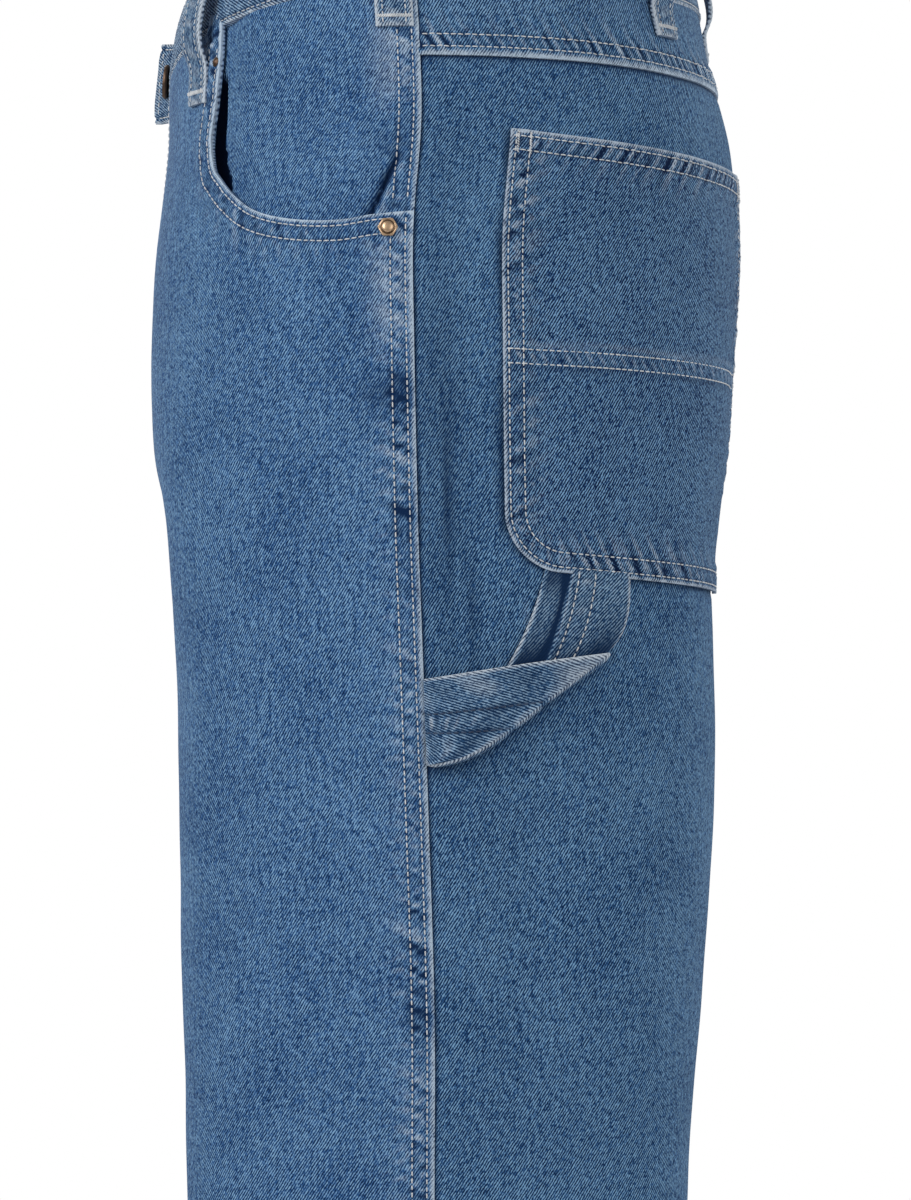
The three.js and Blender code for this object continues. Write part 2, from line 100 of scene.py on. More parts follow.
# %% Cross-sections
SECTION_NAMES = ["z", "front", "back", "side", "axis", "inner", "seam"]
SECTIONS = np.array([
    [15, -113, 110, 144, 5, 0, -15],
    [-30, -129, 123, 155, 10, 0, -15],
    [-60, -134, 128, 163, 20, 0, -13],
    [-100, -135, 137, 172, 30, 0, -12],
    [-150, -139, 138, 182, 50, 0, -15.5],
    [-200, -140, 134, 189, 70, 0, -15],
    [-250, -137, 129, 191, 88, 0, -14],
    [-290, -131, 124, 191, 97, 0.15, -13],
    [-330, -127, 124, 191, 98, 6, -11.5],
    [-400, -125, 125, 190, 100, 14, -9],
    [-500, -123, 119, 185, 104, 25, -6],
    [-590, -120, 114, 179, 107, 37, -6],
    [-700, -116, 110, 175, 109, 44, -5],
    [-850, -111, 104, 173, 111, 49, -3],
    [-1065, -98, 93, 172, 112, 52, 0],
])
CROTCH_Z = -290.0
HEM_Z = -1065.0
RISE_HEIGHT = {"front": 90.0, "back": 108.0}
RING_POWER = 2 / 2.2
SLOPES = np.empty_like(SECTIONS)
for i in range(len(SECTIONS)):
    above, below = SECTIONS[max(i - 1, 0)], SECTIONS[min(i + 1, len(SECTIONS) - 1)]
    SLOPES[i] = (below - above) / (below[0] - above[0])


def section(z):
    """Cubic pieces through the rows: value and slope agree at each row's height."""
    z = np.asarray(z, float)
    k = np.clip(np.searchsorted(-SECTIONS[:, 0], -z, side="right") - 1, 0, len(SECTIONS) - 2)
    span = SECTIONS[k + 1, 0] - SECTIONS[k, 0]
    t = np.clip((z - SECTIONS[k, 0]) / span, 0, 1)
    h = t * t * (3 - 2 * t)
    bend = t * (1 - t) * span
    out = {}
    for c, name in enumerate(SECTION_NAMES[1:], 1):
        base = SECTIONS[k, c] * (1 - h) + SECTIONS[k + 1, c] * h
        out[name] = base + bend * ((1 - t) * SLOPES[k, c] - t * SLOPES[k + 1, c])
    return out


def ring_point(face, z, q):
    """Half ring of a rounded superellipse: q is 0 at the side seam, 0.5 over the middle of the
    leg and 1 at the centre seam, or at the inseam below the crotch."""
    z, q = as_grids(z, q)
    s = section(z)
    depth = s[face] - s["seam"]
    a = np.minimum(q, 0.5) * math.pi
    outer_x = s["axis"] + (s["side"] - s["axis"]) * np.maximum(np.cos(a), 0) ** RING_POWER
    outer_y = np.sin(a) ** RING_POWER
    drop = np.maximum((CROTCH_Z + RISE_HEIGHT[face] - z) / RISE_HEIGHT[face], 0)
    share = np.where(z > CROTCH_Z, np.sqrt(np.maximum(1 - drop**2, 0)), 0)
    end = np.maximum(np.arccos(share ** (1 / RING_POWER)), 1e-3)
    b = (2 * np.maximum(q, 0.5) - 1) * end
    inner = np.where(z > CROTCH_Z, 0, s["inner"])
    inner_x = s["axis"] - (s["axis"] - inner) * (np.sin(b) / np.sin(end)) ** RING_POWER
    inner_y = np.maximum(np.cos(b), 0) ** RING_POWER
    x = np.where(q <= 0.5, outer_x, inner_x)
    y = s["seam"] + depth * np.where(q <= 0.5, outer_y, inner_y)
    return np.stack([x, y, z], -1)


# %% [markdown]
# ## Measuring along the cloth
# A maker measures round the body with a tape, so places on the cloth are given as a distance
# from the side seam and a height. A table of ring lengths turns such a distance into a place.

# %% Lengths along the rings
TABLE_STEP = 2.5
TABLE_Z = np.arange(25, HEM_Z - 10, -TABLE_STEP)
TABLE_Q = np.linspace(0, 1, 257)
LENGTHS, PLACES = {}, {}
for face in ("front", "back"):
    points = ring_point(face, TABLE_Z[:, None], TABLE_Q[None, :])
    pieces = np.linalg.norm(np.diff(points, axis=1), axis=2)
    lengths = np.concatenate([np.zeros((len(TABLE_Z), 1)), np.cumsum(pieces, 1)], 1)
    LENGTHS[face] = lengths
    even = np.linspace(0, 1, 513)
    PLACES[face] = np.array([np.interp(even, row / row[-1], TABLE_Q) for row in lengths])


def look_up(grid, z, share):
    """Value of a table between its rows of height and its columns of share, straight-line."""
    row = np.clip((TABLE_Z[0] - z) / TABLE_STEP, 0, len(TABLE_Z) - 1.001)
    col = np.clip(share, 0, 1) * (grid.shape[1] - 1.0001)
    i, j = row.astype(int), col.astype(int)
    u, v = row - i, col - j
    top = grid[i, j] * (1 - v) + grid[i, j + 1] * v
    low = grid[i + 1, j] * (1 - v) + grid[i + 1, j + 1] * v
    return top * (1 - u) + low * u


def girth(face, z):
    """Length of the half ring from the side seam to its far end."""
    return look_up(LENGTHS[face], np.asarray(z, float), np.ones(np.shape(z)))


def outer_half(face, z):
    """Girth from the side seam to the middle of the leg, and the share of the columns there."""
    outer = look_up(LENGTHS[face], z, np.full(z.shape, 0.5))
    s = section(z)
    return outer, outer / (outer + 1.8 * (s["axis"] - s["inner"]))


def arc_of_share(face, z, share):
    """Distance at a share of the panel's columns, with the outer leg's columns upright."""
    z, share = as_grids(z, share)
    outer, middle = outer_half(face, z)
    beyond = outer + (girth(face, z) - outer) * (share - middle) / (1 - middle)
    return np.where(share <= middle, outer * share / middle, beyond)


def share_of_arc(face, z, arc):
    """The share whose distance is arc, the inverse of arc_of_share."""
    z, arc = as_grids(z, arc)
    outer, middle = outer_half(face, z)
    beyond = middle + (1 - middle) * (arc - outer) / (girth(face, z) - outer)
    return np.where(arc <= outer, arc / outer * middle, beyond)


def arc_of_depth(face, y, z):
    """Distance from the side seam of the cloth that lies at depth y in the side view."""
    s = section(z)
    rise = np.clip((y - s["seam"]) / (s[face] - s["seam"]), 0, 1)
    q = np.arcsin(rise ** (1 / RING_POWER)) / math.pi
    return look_up(LENGTHS[face], np.asarray(z, float), q)


# %% [markdown]
# ## Creases
# Denim hangs in a few soft vertical troughs where it is full, and breaks at the fork. Each row
# is one crease: its side, face, distance from the side seam, lean, top, bottom, width, and
# height out of the cloth, negative for a trough.

# %% Creases, listed
FOLDS = [
    (1, "back", 22, 0, -125, -405, 9, -1.8),
    (1, "back", 46, 4, -320, -560, 14, -2.2),
    (1, "back", 95, 8, -330, -620, 22, 2.0),
    (1, "back", 150, 10, -420, -800, 26, -2.4),
    (1, "front", 19, -6, -168, -232, 9, -2.0),
    (1, "front", 170, 12, -240, -330, 16, -2.2),
    (1, "front", 120, -10, -520, -900, 30, 2.2),
    (-1, "back", 26, 0, -130, -360, 10, -1.6),
    (-1, "back", 60, -4, -340, -600, 15, -2.2),
    (-1, "back", 128, 8, -400, -760, 26, 2.3),
    (-1, "front", 24, 5, -160, -240, 10, -1.8),
    (-1, "front", 176, 12, -236, -322, 15, -2.4),
    (-1, "front", 105, 8, -560, -930, 30, 2.0),
]


def fold_height(side, face, arc, z):
    """Sum of bells across each crease, faded in and out along it."""
    height = np.zeros(np.shape(arc))
    for fold_side, fold_face, middle, lean, top, bottom, width, tall in FOLDS:
        if (fold_side, fold_face) == (side, face):
            down = np.clip((top - z) / (top - bottom), 0, 1)
            across = arc - middle - lean * (down - 0.5)
            height = height + tall * np.sin(math.pi * down) ** 2 * bell(across, width)
    return height


def on_cloth(side, face, arc, z, out):
    """Point of the outer face, moved out square to it by out and by the creases."""
    arc, z, out = as_grids(arc, z, out)
    q = look_up(PLACES[face], z, arc / girth(face, z))
    around = ring_point(face, z, np.minimum(q + 0.004, 1)) - ring_point(face, z, np.maximum(q - 0.004, 0))
    up = ring_point(face, z + 1.5, q) - ring_point(face, z - 1.5, q)
    normal = np.cross(around, up)
    normal /= np.linalg.norm(normal, axis=-1, keepdims=True)
    if face == "front":
        normal = -normal
    p = ring_point(face, z, q) + normal * (out + fold_height(side, face, arc, z))[..., None]
    p[..., 0] *= side
    return p


def cloth(side, face, arc, z, out=0.0):
    """The same past a seam: below 0 is the other face, past the far end the other side."""
    arc, z, out = as_grids(arc, z, out)
    other = "back" if face == "front" else "front"
    around = girth(face, z)
    p = on_cloth(side, face, np.clip(arc, 0, around), z, out)
    before, after = arc < 0, arc > around
    if before.any():
        p[before] = on_cloth(side, other, -arc[before], z[before], out[before])
    beside = after & (z > CROTCH_Z)
    if beside.any():
        over = 2 * around[beside] - arc[beside]
        p[beside] = on_cloth(-side, face, over, z[beside], out[beside])
    behind = after & ~beside
    if behind.any():
        over = girth(other, z[behind]) + around[behind] - arc[behind]
        p[behind] = on_cloth(side, other, over, z[behind], out[behind])
    return p


# %% [markdown]
# ## Seams
# The waistband dips at the front, and the yoke seam is nearly level. Every lapped seam has the
# same form across it.

# %% Heights and form of the seams
BAND_HEIGHT = 38.0
BAND_LEVEL = {"front": -60.0, "back": -20.0}
FRONT_DIP_Z = -78.0
UNDER_BAND = 9
LAP_REACH = 11.0


def band_seam_z(face, share):
    """Height of the waistband's lower edge at a share of the half ring."""
    share = np.asarray(share, float)
    if face == "back":
        return -BAND_HEIGHT + 6 * smooth(share)
    return -BAND_HEIGHT - 40 * (0.6 * np.clip(share, 0, 2) ** 1.9 + 0.4 * smooth(share))


def yoke_seam_z(share):
    """Height of the yoke's lower edge at a share of the half ring."""
    return -70 - 3 * smooth(share)


def pucker(s, seed):
    """Uneven roping along a seam: two waves of 9 and 5 mm whose phase and strength wander."""
    slow = np.sin(s / 23 + seed) + np.sin(s / 10.7 + 2 * seed) + 0.7 * np.sin(s / 4.9 + 5 * seed)
    wave = 0.6 * np.sin(s * 2 * math.pi / 9.1 + 1.5 * slow)
    wave = wave + 0.45 * np.sin(s * 2 * math.pi / 5.3 + 2.1 * slow)
    return wave * (0.75 + 0.3 * np.sin(s / 17 + 3 * seed) + 0.2 * np.sin(s / 41 + seed))


def seam_form(d, s, rows, seed, lap=1.1, rope=0.34, rib=0.34):
    """Height, and wear with painted shade, of a lapped seam. d is the distance in from its folded
    edge and s the length along it: a rounded edge, a lap that ends at LAP_REACH, a groove at each
    stitch row, roping and ribs between the rows, and weak waves beside them. The colour is rubbed
    pale at the folded edge and on the ridges, and darkened as painted shade in the grooves and in
    the valleys of the roping and ribs."""
    middle = sum(rows) / len(rows)
    height = lap * (1 - smooth((d - LAP_REACH) / 4)) - 0.5 * np.clip(1.1 - d, 0, 1.1) ** 2
    wave = pucker(s + 0.5 * d, seed)
    swell = flat_bell(d - middle, 4.3)
    ribs = swell * (0.75 + 0.25 * np.sin(s / 37 + seed))
    ribs = ribs * np.sin((s + 0.7 * d) * 2 * math.pi / 5.6 + 1.3 * np.sin(s / 15 + seed))
    height = height + 1.5 * rope * wave * swell + 0.4 * rib * ribs
    for row in rows:
        height = height - 0.42 * bell(d - row, 0.8)
    radiate = bell(d - LAP_REACH, 7.5) * smooth((d - rows[-1]) / 2)
    height = height + 0.28 * radiate * np.sin((s + 0.35 * d) * 2 * math.pi / 9.0 + seed)
    uneven = 0.75 + 0.3 * np.sin(s / 13 + 2 * seed) * np.sin(s / 37 + seed) + 0.25 * wave
    # Pale at the rubbed folded edge; darker in each stitch row's groove as painted shade.
    wear_and_shade = (1.2 * uneven + 0.15) * bell(d - 0.3, 1.0) - 0.6 * sum(bell(d - row, 0.8) for row in rows)
    # Roping and ribs: pale on their ridges, darker in their valleys as painted shade.
    roping = 0.85 * np.maximum(wave - 0.15, 0) + 1.35 * np.minimum(wave + 0.1, 0) - 0.06
    return height, wear_and_shade + roping * swell + rib * ribs + 0.42 * radiate * wave


# %% [markdown]
# ## Turning grids into cloth
# Each piece is a grid of places on the cloth. Its outer face is that grid, its inner face the
# same grid moved in by the cloth's thickness, and four rims close it. The UV map is the cloth
# laid flat, in metres, so the weave keeps its scale. A value at each point says where the
# indigo has rubbed off, above 0, or where painted shade darkens the cloth, below 0: in grooves,
# creases and hollows, beside lapped edges and under the hammer loop.

# %% Grid to closed mesh
CLOTH = 1.4
INNER_WEAR = 0.1
RIM_SHIFT = np.array([1.9, 2.3])


def grid_faces(rows, cols, start=0):
    """Four-sided faces of a grid whose points are numbered row by row from start."""
    first = (np.arange(rows - 1)[:, None] * cols + np.arange(cols - 1)).ravel() + start
    return np.stack([first, first + cols, first + cols + 1, first + 1], 1).tolist()


def grid_rim(rows, cols):
    """The points round a grid's edge, in order."""
    top = np.arange(cols)
    right = np.arange(rows) * cols + cols - 1
    return np.concatenate([top[:-1], right[:-1], (rows - 1) * cols + top[:0:-1], right[:0:-1] - cols + 1])


def turn_outwards(mesh):
    """Flip a closed mesh whose volume comes out negative."""
    count = len(mesh.polygons)
    middle, normal, area = np.empty(count * 3), np.empty(count * 3), np.empty(count)
    mesh.polygons.foreach_get("center", middle)
    mesh.polygons.foreach_get("normal", normal)
    mesh.polygons.foreach_get("area", area)
    if (np.einsum("ij,ij->i", middle.reshape(-1, 3), normal.reshape(-1, 3)) * area).sum() < 0:
        mesh.flip_normals()


def closed_mesh(name, points, faces):
    """Smooth mesh with its faces turned outwards, from points in mm."""
    mesh = bpy.data.meshes.new(name)
    mesh.from_pydata((points * MM).tolist(), [], faces)
    turn_outwards(mesh)
    mesh.polygons.foreach_set("use_smooth", np.ones(len(mesh.polygons), bool))
    return mesh


def mark_points(mesh, name, values):
    """A number at each point of a mesh, for its material to read."""
    mesh.attributes.new(name, "FLOAT", "POINT").data.foreach_set("value", values)


def add_object(name, data):
    """Object of a mesh, light or camera, in the scene."""
    thing = bpy.data.objects.new(name, data)
    bpy.context.scene.collection.objects.link(thing)
    return thing


def shell(name, outer, inner, uv, wear_and_shade, faces=None, rim=None):
    """Closed piece between an outer and an inner face of the same layout, points in mm. uv and
    the wear with painted shade may be for the outer points alone or for all."""
    if faces is None:
        rows, cols = outer.shape[:2]
        faces, rim = grid_faces(rows, cols), grid_rim(rows, cols)
    outer, inner, uv = outer.reshape(-1, 3), inner.reshape(-1, 3), uv.reshape(-1, 2)
    count = len(outer)
    after = np.roll(rim, -1)
    sides = np.stack([rim, after, after + count, np.asarray(rim) + count], 1).tolist()
    backs = [[k + count for k in reversed(face)] for face in faces]
    mesh = closed_mesh(name, np.concatenate([outer, inner]), faces + backs + sides)
    corner = np.empty(len(mesh.loops), int)
    mesh.loops.foreach_get("vertex_index", corner)
    uv = uv if len(uv) > count else np.concatenate([uv, uv + RIM_SHIFT])
    mesh.uv_layers.new(name="cloth").data.foreach_set("uv", (uv * MM)[corner].ravel())
    wear_and_shade = wear_and_shade.ravel()
    mark_points(mesh, "wear_and_shade", wear_and_shade if len(wear_and_shade) > count else np.append(wear_and_shade, np.full(count, INNER_WEAR)))
    mesh.set_sharp_from_angle(angle=math.radians(52))
    return add_object(name, mesh)


def grid_area(points):
    """Area of a grid of points in square millimetres, from the cross product of its steps."""
    a = np.diff(points, axis=0)[:, :-1]
    b = np.diff(points, axis=1)[:-1]
    return np.linalg.norm(np.cross(a, b), axis=2).sum()


def sew_piece(piece, node, material, cut):
    """Finish a piece of cloth: its material, node and slot. cut, the flat size it was cut to, which
    is its greatest width and length in metres and its area in square metres, is not used."""
    piece.data.materials.append(material)
    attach(piece, "root")
    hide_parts(node)


def cut_of(*grids):
    """Greatest width, whole length and area of one or two grids of points that follow on."""
    across = max(np.linalg.norm(np.diff(g, axis=1), axis=2).sum(1).max() for g in grids)
    down = sum(np.linalg.norm(np.diff(g, axis=0), axis=2).sum(0).max() for g in grids)
    return across * MM, down * MM, sum(grid_area(g) for g in grids) * MM * MM


def weave_turn(side, face):
    """1 where the distance from the side seam runs to the right as seen from outside, else -1."""
    return 1 if (side > 0) == (face == "back") else -1


def weave_uv(side, face, arc, z):
    """Flat cloth coordinates, u to the right as seen from outside, so the twill leans one way."""
    return np.stack([arc * weave_turn(side, face) + 500, z + 1200 + 0 * arc], -1)


# %% [markdown]
# ## Denim
# The cloth is a 14 ounce cotton twill: indigo warp threads pass over three white weft threads
# and under one, which leaves steep lines, rising to the right, about 1.1 mm apart. Stone
# washing wears the tops of the lines to pale blue. The lines are a wave across the twill, broken
# into dashes by a noise that is long along the lines. Slubs and the wash add slower changes.

# %% Node helper and colours
def linear(hex_code):
    """sRGB hex colour to the linear values that a shader takes."""
    channels = [int(hex_code[i:i + 2], 16) / 255 for i in (0, 2, 4)]
    return [c / 12.92 if c <= 0.04045 else ((c + 0.055) / 1.055) ** 2.4 for c in channels] + [1.0]


def add_node(tree, kind, inputs=None, **settings):
    """One shader node: settings are its properties, inputs are values or sockets to link."""
    node = tree.nodes.new(kind)
    for key, value in settings.items():
        setattr(node, key, value)
    for key, value in (inputs or {}).items():
        if isinstance(value, bpy.types.NodeSocket):
            tree.links.new(value, node.inputs[key])
        else:
            node.inputs[key].default_value = value
    return node


def new_material(name, surface):
    """Material with its shader, whose own values surface gives, joined to the output."""
    material = bpy.data.materials.new(name)
    material.use_nodes = True
    tree = material.node_tree
    tree.nodes.clear()
    shader = add_node(tree, "ShaderNodeBsdfPrincipled", surface)
    add_node(tree, "ShaderNodeOutputMaterial", {"Surface": shader.outputs[0]})
    return material, tree, shader


# %% The twill
TWILL_PITCH = 1.12
TWILL_ANGLE = math.radians(57)
YARN_DRIFT = 0.5
# Each noise: whether it follows the twill, its cells in a metre across and along, its detail,
# how much it adds, and whether that is part of the yarn. They are dashes of 0.7 by 2.4 mm,
# threads of 0.5 by 1 mm, slubs of 1.4 by 17 mm, wash of 3 mm and fading of 45 mm.
NOISES = [
    (True, 1400, 420, 0.0, 0.7, True),
    (False, 1900, 1000, 0.0, 0.68, True),
    (False, 700, 60, 1.0, 0.35, False),
    (False, 300, 300, 2.0, 0.42, False),
    (False, 22, 22, 2.0, 0.26, False),
]


def denim(name, deep, middle, pale, worn, contrast=1.0):
    """Stone-washed indigo twill in four colours, from the deep indigo, towards which painted shade
    darkens it, to the rubbed edges. It is rough and nearly without gloss, with a faint sheen from its loose
    fibres."""
    material, tree, shader = new_material(name, {
        "Roughness": 0.88, "Specular IOR Level": 0.12, "Sheen Weight": 0.04, "Sheen Roughness": 0.55})
    uv = add_node(tree, "ShaderNodeUVMap", uv_map="cloth").outputs[0]
    lean = math.pi / 2 - TWILL_ANGLE
    turned = add_node(tree, "ShaderNodeMapping", {"Vector": uv, "Rotation": (0, 0, lean)}).outputs[0]
    across = add_node(tree, "ShaderNodeSeparateXYZ", {0: turned}).outputs[0]
    drift = add_node(tree, "ShaderNodeTexNoise", {"Vector": uv, "Scale": 200.0, "Detail": 2.0},
                     noise_dimensions="2D")
    tone = drift.outputs["Fac"]
    for operation, values in (("MULTIPLY_ADD", {1: YARN_DRIFT * MM, 2: across}),
                              ("MULTIPLY", {1: 2 * math.pi / (TWILL_PITCH * MM)}),
                              ("SINE", {}),
                              ("MULTIPLY_ADD", {1: 0.37 * contrast, 2: 0.49})):
        tone = add_node(tree, "ShaderNodeMath", {0: tone, **values}, operation=operation).outputs[0]
    for on_twill, wide, long, detail, share, in_yarn in NOISES:
        vector = turned if on_twill else uv
        vector = add_node(tree, "ShaderNodeMapping", {"Vector": vector, "Scale": (wide, long, 1)}).outputs[0]
        cells = add_node(tree, "ShaderNodeTexNoise", {"Vector": vector, "Scale": 1.0, "Detail": detail},
                         noise_dimensions="2D")
        centred = add_node(tree, "ShaderNodeMath", {0: cells.outputs["Fac"], 1: 0.5}, operation="SUBTRACT")
        share = share * contrast if in_yarn else share
        tone = add_node(tree, "ShaderNodeMath", {0: centred.outputs[0], 1: share, 2: tone},
                        operation="MULTIPLY_ADD").outputs[0]
        if in_yarn:
            yarn = tone
    tone.node.use_clamp = True
    ramp = add_node(tree, "ShaderNodeValToRGB", {"Fac": tone})
    stops = ramp.color_ramp.elements
    stops[0].position, stops[0].color = 0.12, linear(deep)
    stops[1].position, stops[1].color = 1.0, linear(pale)
    stops.new(0.5).color = linear(middle)
    wear_and_shade = add_node(tree, "ShaderNodeAttribute", attribute_name="wear_and_shade").outputs["Fac"]
    over = add_node(tree, "ShaderNodeMath", {0: wear_and_shade, 1: 0.7}, operation="SUBTRACT", use_clamp=True)
    flat = add_node(tree, "ShaderNodeMath", {0: over.outputs[0], 1: 1.1}, operation="MULTIPLY")
    tops = add_node(tree, "ShaderNodeMath", {0: tone, 1: 1.5, 2: 0.1}, operation="MULTIPLY_ADD")
    rubbed = add_node(tree, "ShaderNodeMath", {0: wear_and_shade, 1: tops.outputs[0], 2: flat.outputs[0]},
                      operation="MULTIPLY_ADD", use_clamp=True)
    # Below 0 the attribute darkens the colour towards the deep indigo: painted shade in grooves, creases and
    # under edges.
    hollow = add_node(tree, "ShaderNodeMath", {0: wear_and_shade, 1: -1.0}, operation="MULTIPLY", use_clamp=True)
    colour = ramp.outputs[0]
    for amount, to in ((rubbed, worn), (hollow, deep)):
        colour = add_node(tree, "ShaderNodeMix", {0: amount.outputs[0], 6: colour, 7: linear(to)},
                          data_type="RGBA").outputs[2]
    bump = add_node(tree, "ShaderNodeBump", {"Height": yarn, "Strength": 0.45, "Distance": 0.25 * MM})
    tree.links.new(colour, shader.inputs["Base Color"])
    tree.links.new(bump.outputs[0], shader.inputs["Normal"])
    return material


DENIM = denim("stonewashed_indigo_twill", "0b2b53", "305f99", "94c0e4", "c4d8ec")
# The back's cloth is darker than the front's, partly as painted shade for the side that gets less light.
DENIM_BACK_WITH_PAINTED_SHADE = denim("stonewashed_indigo_twill_back_with_painted_shade", "08274c", "2a5a90", "8fbce0", "c2d5e8", contrast=1.17)
DENIM_POCKET = denim("stonewashed_indigo_twill_pocket", "041f45", "19477d", "8ab6dc", "c2d2e4", contrast=1.4)
DENIM_LIGHT = denim("faded_indigo_twill", "0e2c50", "36608d", "9fc0dc", "d0dce8", contrast=1.2)


# %% Paths on the flat cloth, and the scoop pocket's mouth
MOUTH_CURVE = np.array([
    [-103.6, -48], [-103.6, -64], [-105.7, -87], [-107.8, -103], [-106.4, -117], [-103.4, -122.5],
    [-97.8, -130], [-88.9, -138], [-78, -142.7], [-64, -145.2], [-48, -145.6], [-33, -143.4],
    [-15, -141.8],
])
SEAM_ROWS = (3.3, 9.9)
MOUTH_ROWS = (2.7, 9.3)
CHUNK = 8192


def smooth_path(points, count):
    """Catmull-Rom curve through a few points, resampled at even steps of length."""
    p = np.vstack([2 * points[0] - points[1], points, 2 * points[-1] - points[-2]])
    t = np.linspace(0, 1, 24, endpoint=False)[:, None, None]
    a, b, c, d = p[:-3], p[1:-2], p[2:-1], p[3:]
    curve = 0.5 * (2 * b + (c - a) * t + (2 * a - 5 * b + 4 * c - d) * t**2 + (3 * b - a - 3 * c + d) * t**3)
    curve = np.vstack([curve.transpose(1, 0, 2).reshape(-1, points.shape[1]), points[-1:]])
    along = lengths_along(curve)
    return line_at(np.linspace(0, along[-1], count), along, curve)


def distance_to(path, arc, z):
    """Distance from each place to a path on the flat cloth, and the length along the path there."""
    steps = lengths_along(path)
    places = path_of(arc.ravel(), z.ravel())
    nearest, along = np.empty(len(places)), np.empty(len(places))
    for start in range(0, len(places), CHUNK):
        some = places[start:start + CHUNK]
        gaps = np.linalg.norm(some[:, None] - path[None], axis=2)
        k = gaps.argmin(1)
        nearest[start:start + CHUNK] = gaps[np.arange(len(some)), k]
        along[start:start + CHUNK] = steps[k]
    return nearest.reshape(arc.shape), along.reshape(arc.shape)


def distance_where(some, path, arc, z):
    """The same for some of the places, to save time. The rest are FAR_OFF."""
    d, s = np.full(np.shape(arc), FAR_OFF), np.zeros(np.shape(arc))
    if some.any():
        d[some], s[some] = distance_to(path, arc[some], z[some])
    return d, s


mouth_y, mouth_z = smooth_path(MOUTH_CURVE, 300).T
MOUTH = path_of(arc_of_depth("front", mouth_y, mouth_z), mouth_z)[::-1].copy()
MOUTH[0, 0] = -0.6
MOUTH_LENGTH = lengths_along(MOUTH)[-1]
print("mouth of the scoop pocket, mm along its edge:", round(MOUTH_LENGTH))


def path_normals(path):
    """Unit vectors square to a path on the flat cloth, on its right-hand side."""
    along = np.gradient(path, axis=0)
    along /= np.linalg.norm(along, axis=1, keepdims=True)
    return path_of(along[:, 1], -along[:, 0])


# %% Outlines of the back pocket and the hammer loop's fold
POCKET_NEAR, POCKET_FAR = (41.0, 39.0), (211.0, 205.0)
POCKET_TOP, POCKET_LOW = (-104.0, -113.0), (-301.0, -314.0)
POCKET_CORNER = 25.0
POCKET_WIDE, POCKET_TALL = POCKET_FAR[0] - POCKET_NEAR[0], POCKET_TOP[0] - POCKET_LOW[0]
CORNER_SHARE = POCKET_CORNER / POCKET_TALL


def pocket_across(arc):
    """Share of the way across a pocket."""
    return (arc - POCKET_NEAR[1]) / (POCKET_FAR[1] - POCKET_NEAR[1])


def pocket_top_z(arc):
    """Height of the pocket's upper edge, a little hollow between its corners."""
    k = pocket_across(arc)
    return POCKET_TOP[0] + (POCKET_TOP[1] - POCKET_TOP[0]) * k - 1.2 * np.sin(math.pi * np.clip(k, 0, 1))


def pocket_low_z(arc):
    """Height of the pocket's lower edge."""
    return POCKET_LOW[0] + (POCKET_LOW[1] - POCKET_LOW[0]) * pocket_across(arc)


def pocket_place(u, down):
    """Distance and height at a share u across and a share down of the pocket."""
    deep = np.maximum(down * POCKET_TALL - (POCKET_TALL - POCKET_CORNER), 0) / POCKET_CORNER
    inset = POCKET_CORNER * (1 - np.sqrt(np.maximum(1 - deep**2, 0)))
    near = POCKET_NEAR[0] + (POCKET_NEAR[1] - POCKET_NEAR[0]) * down + inset
    far = POCKET_FAR[0] + (POCKET_FAR[1] - POCKET_FAR[0]) * down - inset
    arc = near + (far - near) * u
    top = pocket_top_z(arc)
    return arc, top + (pocket_low_z(arc) - top) * down


round_down = 1 - CORNER_SHARE * (1 - np.sin(np.linspace(0, math.pi / 2, 16)[1:]))
fine_down = np.concatenate([np.linspace(0, 1 - CORNER_SHARE, 80), round_down])
near_side = path_of(*pocket_place(0.0, fine_down))
low_side = path_of(*pocket_place(np.linspace(0, 1, 80)[1:-1], 1.0))
far_side = path_of(*pocket_place(1.0, fine_down))[::-1]
outline = np.vstack([near_side, low_side, far_side])
steps = lengths_along(outline)
POCKET_EDGE = line_at(np.linspace(0, steps[-1], 340), steps, outline)

HAMMER_LOW = {"start": (0.5, -387), "end": 57, "height": 9.4, "rest": 3.4}
HAMMER_HIGH = {"start": (0.5, -350), "end": 97, "height": 6.4, "rest": 2.4}
HAMMER_THICK = 2.4
HAMMER_FOLD = np.array([
    [1.5, -387], [10, -386], [19, -383], [27, -379], [40, -369.5], [54, -358.5], [68, -349],
    [77, -343], [83, -338.5],
])
FOLD_SHARE = np.array([0.0, 0.06, 0.13, 0.2, 0.4, 0.6, 0.8, 0.93, 1.0])
HAMMER_BOW = ((45, -347), (98, -330))
TURN_REACH = 1.0
bent = line_at(np.linspace(0, 1, 201), FOLD_SHARE, HAMMER_FOLD)
FOLD_LINE = soften(np.vstack([2 * bent[0] - bent[12:0:-1], bent, 2 * bent[-1] - bent[-2:-14:-1]]), 25)
FOLD_AWAY = path_normals(FOLD_LINE)


# %% Heights of the seams on each panel
EDGE = 0.6
HEM_ROW = 10.5
FLY_WIDE, FLY_GAUGE, FLY_END = 38.0, 5.0, 8.0
FLY_TURN_Z, FLY_ROUND, FLY_LOW_Z = -172.0, 26.0, -202.0


def under_form(d):
    """Cloth that runs in under a folded edge: a hollow beside it and a step down below it, and its colour
    darkened beside the edge as painted shadow.
    """
    # The second value is the painted shadow beside the folded edge.
    return -0.7 * bell(np.maximum(d, 0), 1.8) - 1.3 * smooth(-d / 0.8), -0.9 * bell(d, 1.8)


def joined(*forms):
    """The sum of several forms, each a height and a wear."""
    return sum(form[0] for form in forms), sum(form[1] for form in forms)


